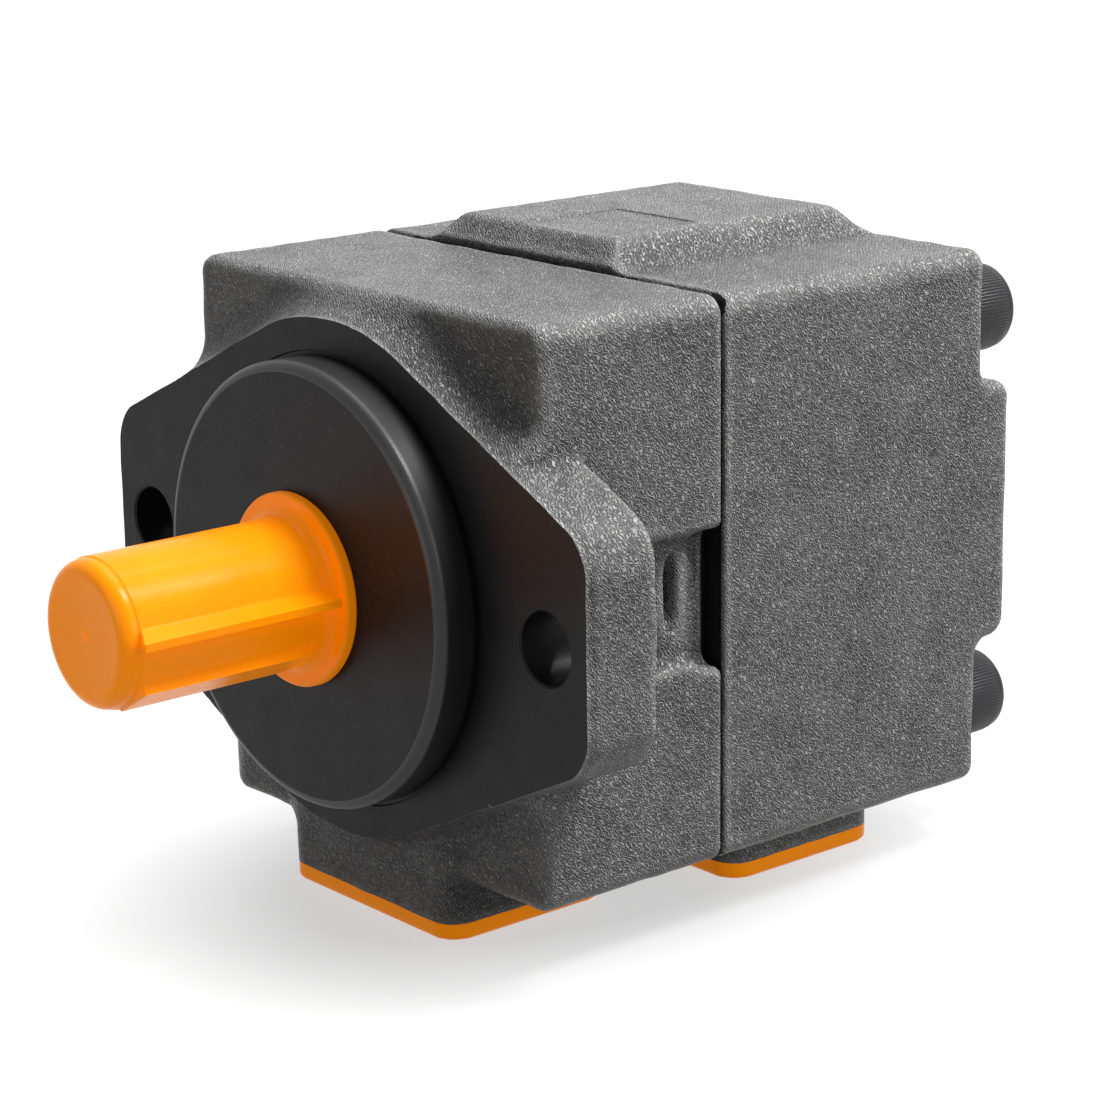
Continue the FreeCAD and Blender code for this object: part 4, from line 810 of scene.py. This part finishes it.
def cast_grey():
    """Grey-painted cast iron: a dark leathery skin with fine worm-like ridges, whose tops are painted
    lighter as glints, plus a painted highlight on bulging edges and painted shade in hollows.
    """
    material, tree, shader = new_material("cast_grey", (0.11, 0.11, 0.111), 0.3, Specular_IOR_Level=0.17)
    place = object_place(tree)
    worms = worm_grain(tree, place, 0.72, 1.1)
    bright = noise(tree, place, 1.3, detail=1.0)
    skin = noise(tree, place, 3.6, detail=1.0)
    ridges = combined(tree, "MULTIPLY", worms, 0.22)
    height = combined(tree, "ADD", ridges, combined(tree, "MULTIPLY", skin, 0.5))
    add_bump(tree, shader, height, 0.8)
    # Lighter ridge tops are painted glints; with the edge term they add painted highlight and painted shade
    # to the random tone patches.
    ridge_tops = spread_between(tree, worms, 0.58, 1.0)
    ridge_glints = combined(tree, "MULTIPLY", ridge_tops, spread_between(tree, bright, 0.2, 0.6))
    patches = soft_noise(tree, place, 16.0, 0.0, 0.14, detail=3.0)
    patches_and_painted_light = combined(tree, "ADD", combined(tree, "ADD", patches, ridge_glints), edge_highlight_hollow_shade(tree))
    tone = colour_between(tree, patches_and_painted_light, (0.05, 0.05, 0.051), (0.4, 0.398, 0.394))
    tree.links.new(tone, shader.inputs["Base Color"])
    tree.links.new(spread_between(tree, worms, 0.0, 1.0, 0.4, 0.25), shader.inputs["Roughness"])
    return material


def machined_black():
    """Turned faces with a black finish and a few light specks."""
    finish, speck = (0.012, 0.012, 0.013), (0.06, 0.056, 0.05)
    material, tree, shader = new_material("machined_black", finish, 0.42, Specular_IOR_Level=0.14)
    place = object_place(tree)
    specks = spread_between(tree, noise(tree, place, 0.8, detail=1.0), 0.68, 0.82)
    tree.links.new(colour_between(tree, specks, finish, speck), shader.inputs["Base Color"])
    add_bump(tree, shader, noise(tree, place, 0.5), 0.03)
    tree.links.new(soft_noise(tree, place, 9.0, 0.36, 0.46), shader.inputs["Roughness"])
    return material


def worn_edge():
    """The black finish polished by handling, on the pilot's edge and wall."""
    material, tree, shader = new_material("worn_edge", (0.016, 0.016, 0.017), 0.38, Specular_IOR_Level=0.4)
    add_bump(tree, shader, noise(tree, object_place(tree), 0.5), 0.02)
    return material


def orange_plastic():
    """Translucent moulded plastic with a little subsurface scattering, and a faint painted glow from its
    emission that stands in for light scattered inside it.
    """
    # Emission_Strength is a painted glow: the plastic gives off light like a lamp, brightening its shaded
    # sides.
    material, tree, shader = new_material(
        "orange_plastic", (0.97, 0.28, 0.002), 0.24, Specular_IOR_Level=0.11,
        Subsurface_Weight=0.1, Subsurface_Radius=(1.0, 0.35, 0.05), Subsurface_Scale=5.0 * MM,
        Emission_Color=(1.0, 0.27, 0.0, 1), Emission_Strength=0.36)
    place = object_place(tree)
    ripples = noise(tree, place, 1.6, distortion=0.6)
    add_bump(tree, shader, ripples, 0.018)
    patches = soft_noise(tree, place, 14.0, 0.0, 1.0)
    tone = colour_between(tree, patches, (0.96, 0.27, 0.002), (0.98, 0.3, 0.003))
    tree.links.new(tone, shader.inputs["Base Color"])
    tree.links.new(spread_between(tree, ripples, 0.3, 0.7, 0.19, 0.28), shader.inputs["Roughness"])
    return material


def black_oxide():
    """Oiled black oxide on the screws."""
    material, tree, shader = new_material("black_oxide", (0.025, 0.025, 0.027), 0.34, Metallic=0.6)
    place = object_place(tree)
    add_bump(tree, shader, noise(tree, place, 0.6), 0.02)
    tree.links.new(soft_noise(tree, place, 3.0, 0.28, 0.42), shader.inputs["Roughness"])
    return material


def metal(name, colour, roughness, grain, depth):
    """Bare metal with a fine finish of that grain and depth in millimetres."""
    material, tree, shader = new_material(name, colour, roughness, Metallic=1.0)
    place = object_place(tree)
    add_bump(tree, shader, noise(tree, place, grain), depth)
    uneven = soft_noise(tree, place, 5.0, roughness - 0.06, roughness + 0.08)
    tree.links.new(uneven, shader.inputs["Roughness"])
    return material


def seal_rubber():
    """Dull black rubber of the rings and the seal's lip."""
    material, tree, shader = new_material("seal_rubber", (0.02, 0.02, 0.02), 0.6)
    add_bump(tree, shader, noise(tree, object_place(tree), 0.4), 0.02)
    return material


CAST = cast_grey()
MACHINED = machined_black()
EDGE = worn_edge()
ORANGE = orange_plastic()
BLACK = black_oxide()
SLOT_MATERIALS = {
    "cast_iron": CAST, "black_screw": BLACK, "orange_cap": ORANGE,
    "ground_steel": metal("ground_steel", (0.5, 0.5, 0.51), 0.34, 0.4, 0.003),
    "hard_steel": metal("hard_steel", (0.42, 0.42, 0.44), 0.34, 0.5, 0.005),
    "seal_rubber": seal_rubber(),
    "bronze_bush": metal("bronze_bush", (0.6, 0.36, 0.16), 0.35, 0.5, 0.005),
}

# Every CAD node gets the material of its slot
for part in frame["record"]["subparts"]:
    node = frame["nodes"][part["node"]]
    node.data.materials.clear()
    node.data.materials.append(SLOT_MATERIALS[part["material_slot"]])


def place_piece(piece, node):
    """The piece stands for a CAD node and moves with its body."""
    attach(piece, frame["nodes"][node]["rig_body"])
    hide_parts(node)


# Castings
TURNED_SEGMENTS = 288
HOLE_SEGMENTS = 96


def pilot_ring():
    """The turned pilot with its rounded edge, the relief groove at its foot and the seal's bore."""
    edge = []
    for turn in range(0, 91, 10):
        angle = math.radians(turn)
        edge.append((PILOT_RADIUS - PILOT_ROUND * (1 - math.sin(angle)),
                     PILOT_FRONT + PILOT_ROUND * (1 - math.cos(angle))))
    undercut = PILOT_RADIUS - UNDERCUT_DEPTH
    rim = PILOT_SEAT + PILOT_RING_LAP
    foot = [(PILOT_RADIUS, UNDERCUT_FRONT), (undercut, UNDERCUT_REAR), (undercut, RELIEF_FLOOR),
            (PILOT_RADIUS + RELIEF_FLOOR_WIDTH, RELIEF_FLOOR),
            (PILOT_RADIUS + RELIEF_MOUTH_WIDTH, -RING_PROUD), (rim, -RING_PROUD), (rim, PILOT_SEAT_DEPTH)]
    bore = [(RELIEF_BORE, PILOT_SEAT_DEPTH), (RELIEF_BORE, SEAL_REAR), (SEAL_BORE, SEAL_REAR),
            (SEAL_BORE, PILOT_FRONT + SEAL_CHAMFER), (SEAL_BORE + SEAL_CHAMFER, PILOT_FRONT)]
    return lathe(edge + foot + bore, TURNED_SEGMENTS)


def bolt_ring(side):
    """The wall of a mounting hole with chamfered rims."""
    mouth = BOLT_HOLE + BOLT_CHAMFER
    rear = EAR_THICKNESS + BOLT_RING_LAP
    front_rim = [(BOLT_HOLE, BOLT_CHAMFER), (mouth, -RING_PROUD), (BOLT_RING, -RING_PROUD)]
    rear_rim = [(BOLT_RING, rear), (mouth, rear), (BOLT_HOLE, EAR_THICKNESS - BOLT_CHAMFER)]
    return lathe(front_rim + rear_rim, HOLE_SEGMENTS, (side * BOLT_OFFSET, 0.0))


def machined_body(centres):
    """0 on cast faces, 1 on machined ones, and 2 on the pilot's edge and wall."""
    x, y, z = centres.T
    radius = np.hypot(x, z)
    flat = (np.abs(y) < NEAR_PLANE) | (y > SPLIT - NEAR_JOINT) | (z < PAD_FLOOR + NEAR_PLANE)
    pilot = (radius < PILOT_SEAT + PILOT_RING_LAP + NEAR_PLANE) & (y < PILOT_SEAT_DEPTH)
    ring = pilot | (y < -RING_PROUD / 2)
    bores = np.abs(body_bores(x, y, z)) < NEAR_BORE
    bolts = np.hypot(np.abs(x) - BOLT_OFFSET, z) < BOLT_RING
    edge = (radius > PILOT_RADIUS - PILOT_ROUND) & (y < PILOT_WALL_REAR) & (y > PILOT_FRONT)
    return np.where(edge, 2, flat | ring | bores | bolts)


def machined_cover(centres):
    """0 on cast faces and 1 on machined ones."""
    x, y, z = centres.T
    inside = np.maximum(np.abs(x) - HALF_WIDTH, np.abs(z) - HALF_HEIGHT) < -JOINT_RIM
    joint = inside & (y < SPLIT + TOP_SPLIT_GAP + NEAR_PLANE)
    return joint | (z < PAD_FLOOR + NEAR_PLANE) | (np.abs(cover_bores(x, y, z)) < NEAR_BORE)


body_surface = field_surface(front_body, BODY_LOW * (1, 0, 1), BODY_HIGH, CASTING_CELL)
body_patches = joined([body_surface, pilot_ring(), bolt_ring(-1), bolt_ring(1)])
body_piece = make_piece("front_body_casting", body_patches, [CAST, MACHINED, EDGE], machined_body)
place_piece(body_piece, "front_body")

cover_surface = field_surface(rear_cover, COVER_LOW, COVER_HIGH, CASTING_CELL)
cover_piece = make_piece("rear_cover_casting", cover_surface, [CAST, MACHINED], machined_cover)
place_piece(cover_piece, "rear_cover")


# Transport caps
GATE_SEGMENTS = 32
cap_surface = field_surface(shaft_cap, SHAFT_CAP_LOW, SHAFT_CAP_HIGH, SHAFT_CAP_CELL)
gate_front = CAP_FRONT + CAP_DISH - GATE_HEIGHT
gate_root = CAP_FRONT + CAP_DISH + GATE_ROOT
gate_mark = lathe([(GATE_RADII[0], gate_front), (GATE_RADII[1], gate_front),
                   (GATE_FOOT_RADII[1], gate_root), (GATE_FOOT_RADII[0], gate_root)], GATE_SEGMENTS)
cap_piece = make_piece("shaft_cap_moulding", joined([cap_surface, gate_mark]), [ORANGE])
place_piece(cap_piece, "shaft_cap")
for port_name, (cap_low, cap_high) in PORT_CAPS.items():
    surface = field_surface(port_cap(port_name), cap_low, cap_high, PORT_CAP_CELL)
    piece = make_piece(f"{port_name}_cap_moulding", surface, [ORANGE])
    place_piece(piece, f"{port_name}_port_cap")


# Cover screws
KNURL_RIDGES = 84
KNURL_SAMPLES = 6
KNURL_DEPTH = 0.22
KNURL_FADES = (0.5, 0.4)
KNURL_REAR = 2.5
HEAD_RADIUS = 10.5
HEAD_CHAMFER = 0.5
HEAD_ROUND = 1.6
SOCKET_FLATS = 12.0
SOCKET_CHAMFER = 0.5
SOCKET_DEPTH = 7.0
SOCKET_POINT = 1.5
THREAD_CORE = 6.0
TIP_CHAMFER = 1.2
SMALLEST_RING = 0.01
SHARP_ANGLE = 32
HEAD_REAR = SCREWS_HIGH[1]


def screw_rings():
    """The radii and the station of each ring of a screw, from its tip to the floor of its socket."""
    turns = 2 * math.pi * np.arange(KNURL_RIDGES * KNURL_SAMPLES) / (KNURL_RIDGES * KNURL_SAMPLES)
    plain = np.ones(len(turns))
    ridges = 0.5 - 0.5 * np.cos(KNURL_RIDGES * turns)
    sixth = np.mod(turns, math.pi / 3) - math.pi / 6
    hexagon = SOCKET_FLATS / 2 / np.cos(sixth)
    tip = SCREWS_LOW[1]
    knurl_front = COVER_REAR + HEAD_CHAMFER
    knurl_rear = HEAD_REAR - KNURL_REAR
    socket_floor = HEAD_REAR - SOCKET_DEPTH
    root = HEAD_RADIUS * plain - KNURL_DEPTH
    rings = [(SMALLEST_RING * plain, tip), (THREAD_CORE * plain, tip),
             (SCREW_SHANK * plain, tip + TIP_CHAMFER), (SCREW_SHANK * plain, COVER_REAR),
             (HEAD_RADIUS * plain - HEAD_CHAMFER, COVER_REAR), (root, knurl_front)]
    for station in (knurl_front + KNURL_FADES[0], knurl_rear - KNURL_FADES[1]):
        rings.append((HEAD_RADIUS - KNURL_DEPTH * ridges, station))
    rings.append((root, knurl_rear))
    for angle in np.linspace(0, math.pi / 2, 5):
        rings.append((root - HEAD_ROUND * (1 - math.cos(angle)),
                      HEAD_REAR - HEAD_ROUND * (1 - math.sin(angle))))
    rings.append((hexagon + SOCKET_CHAMFER, HEAD_REAR))
    rings.append((hexagon, HEAD_REAR - SOCKET_CHAMFER))
    rings.append((hexagon, socket_floor))
    rings.append((SMALLEST_RING * plain, socket_floor - SOCKET_POINT))
    return turns, rings


def make_screw(name, centre):
    """One cover screw with its axis through centre, as x and z."""
    turns, rings = screw_rings()
    segments, count = len(turns), len(rings)
    vertices = []
    for radii, station in rings:
        for turn, radius in zip(turns, radii):
            vertices.append(((centre[0] + radius * math.cos(turn)) * MM, station * MM,
                             (centre[1] + radius * math.sin(turn)) * MM))
    faces = []
    for ring in range(count - 1):
        for turn in range(segments):
            onward = (turn + 1) % segments
            faces.append((ring * segments + turn, (ring + 1) * segments + turn,
                          (ring + 1) * segments + onward, ring * segments + onward))
    faces.append(tuple(range(segments)))
    faces.append(tuple(reversed(range((count - 1) * segments, count * segments))))
    mesh = bpy.data.meshes.new(name)
    mesh.from_pydata(vertices, [], faces)
    mesh.materials.append(BLACK)
    mesh.polygons.foreach_set("use_smooth", np.ones(len(faces), bool))
    mesh.set_sharp_from_angle(angle=math.radians(SHARP_ANGLE))
    piece = bpy.data.objects.new(name, mesh)
    bpy.context.scene.collection.objects.link(piece)
    place_piece(piece, "cover_screws")


screw_corners = [(side, level) for level in (1, -1) for side in (-1, 1)]
for number, (side, level) in enumerate(screw_corners, 1):
    make_screw(f"cover_screw_{number}", (side * SCREW_OFFSET, level * SCREW_OFFSET))


# Floor, light and camera
FLOOR_SIZE = 14000.0
# The floor's glow falls from FLOOR_FAR to a painted shadow inside an ellipse round the pump's footprint.
FOOTPRINT_MIDDLE = 60.0
FOOTPRINT_SQUEEZE = 0.65
FOOTPRINT_EDGE = 45.0
FOOTPRINT_END = 85.0
FLOOR_PAINTED_SHADOW = 0.58
FLOOR_FAR = 0.93
WORLD_FILL = 0.04
WORLD_SEEN = 1.0


def seen_directly(tree):
    """1 for rays from the camera, off a mirror or through glass, and 0 for rays that gather dull light."""
    rays = add_node(tree, "ShaderNodeLightPath")
    seen = combined(tree, "MAXIMUM", rays.outputs["Is Camera Ray"], rays.outputs["Is Glossy Ray"])
    return combined(tree, "MAXIMUM", seen, rays.outputs["Is Transmission Ray"])


def make_floor():
    """A pale floor that glows where it is seen, less so near the pump's footprint, where the lower glow is a
    painted shadow.
    """
    bpy.ops.mesh.primitive_plane_add(size=FLOOR_SIZE * MM, location=(0, 0, FLOOR * MM))
    floor = bpy.context.object
    floor.name = "studio_floor"
    material, tree, shader = new_material("studio_floor", (0.13, 0.13, 0.13), 0.6,
                                          Emission_Color=(1, 1, 1, 1))
    seen = seen_directly(tree)
    # Less glow near the pump's footprint is a painted contact shadow.
    footprint = add_node(tree, "ShaderNodeMapping", {
        "Location": (0, -FOOTPRINT_SQUEEZE * FOOTPRINT_MIDDLE * MM, 0), "Scale": (1, FOOTPRINT_SQUEEZE, 1)})
    tree.links.new(object_place(tree), footprint.inputs["Vector"])
    away = add_node(tree, "ShaderNodeVectorMath", operation="LENGTH")
    tree.links.new(footprint.outputs["Vector"], away.inputs[0])
    glow = spread_between(tree, away.outputs["Value"], FOOTPRINT_EDGE * MM, FOOTPRINT_END * MM,
                          FLOOR_PAINTED_SHADOW, FLOOR_FAR)
    tree.links.new(combined(tree, "MULTIPLY", seen, glow), shader.inputs["Emission Strength"])
    floor.data.materials.append(material)


def make_world():
    """A white backdrop that adds little light of its own."""
    world = bpy.data.worlds.new("studio")
    bpy.context.scene.world = world
    world.use_nodes = True
    tree = world.node_tree
    background = tree.nodes["Background"]
    background.inputs["Color"].default_value = (1, 1, 1, 1)
    strength = spread_between(tree, seen_directly(tree), 0, 1, WORLD_FILL, WORLD_SEEN)
    tree.links.new(strength, background.inputs["Strength"])


def add_softbox(name, place, target, size, watts):
    """A rectangular lamp at place that shines on target."""
    light = bpy.data.lights.new(name, "AREA")
    light.shape = "RECTANGLE"
    light.size, light.size_y = (length * MM for length in size)
    light.energy = watts
    holder = bpy.data.objects.new(name, light)
    holder.location = Vector(place) * MM
    holder.rotation_euler = (Vector(target) - Vector(place)).to_track_quat("-Z", "Y").to_euler()
    bpy.context.scene.collection.objects.link(holder)


# The camera's turn in degrees, and its place and lens in millimetres
CAMERA_AZIMUTH = 49.96
CAMERA_ELEVATION = 15.04
CAMERA_ROLL = -0.738
CAMERA_DISTANCE = 723.66
CAMERA_ACROSS = 48.226
CAMERA_UP = 6.654
CAMERA_LENS = 105.80
CAMERA_SENSOR = 36
CAMERA_CLIP = 50.0


def make_camera():
    """The camera that fits the photograph. The origin is left of the picture's middle and just below it."""
    azimuth, elevation = math.radians(CAMERA_AZIMUTH), math.radians(CAMERA_ELEVATION)
    roll = math.radians(CAMERA_ROLL)
    back = Vector((math.sin(azimuth) * math.cos(elevation), -math.cos(azimuth) * math.cos(elevation),
                   math.sin(elevation)))
    right = Vector((math.cos(azimuth), math.sin(azimuth), 0))
    up = back.cross(right)
    right, up = (math.cos(roll) * right + math.sin(roll) * up, -math.sin(roll) * right + math.cos(roll) * up)
    place = (right * CAMERA_ACROSS + up * CAMERA_UP + back * CAMERA_DISTANCE) * MM
    data = bpy.data.cameras.new("photo_camera")
    data.lens = CAMERA_LENS
    data.sensor_width = CAMERA_SENSOR
    data.clip_start = CAMERA_CLIP * MM
    camera = bpy.data.objects.new("photo_camera", data)
    turn = Matrix((right, up, back)).transposed().to_4x4()
    camera.matrix_world = Matrix.Translation(place) @ turn
    bpy.context.scene.collection.objects.link(camera)
    bpy.context.scene.camera = camera


make_floor()
make_world()
PUMP_MIDDLE = (0, 50, 0)
CAP_TIP = (0, CAP_FRONT, 0)
add_softbox("key_softbox", (450, 300, 960), PUMP_MIDDLE, (300, 300), 12)
add_softbox("rim_softbox", (280, 720, 800), PUMP_MIDDLE, (500, 35), 4.5)
add_softbox("top_softbox", (-200, 250, 1100), PUMP_MIDDLE, (600, 500), 4)
add_softbox("right_softbox", (1000, 250, 350), PUMP_MIDDLE, (300, 300), 2.3)
add_softbox("front_softbox", (-20, -260, 40), CAP_TIP, (100, 100), 0.08)
make_camera()
bpy.context.scene.view_settings.view_transform = "Standard"
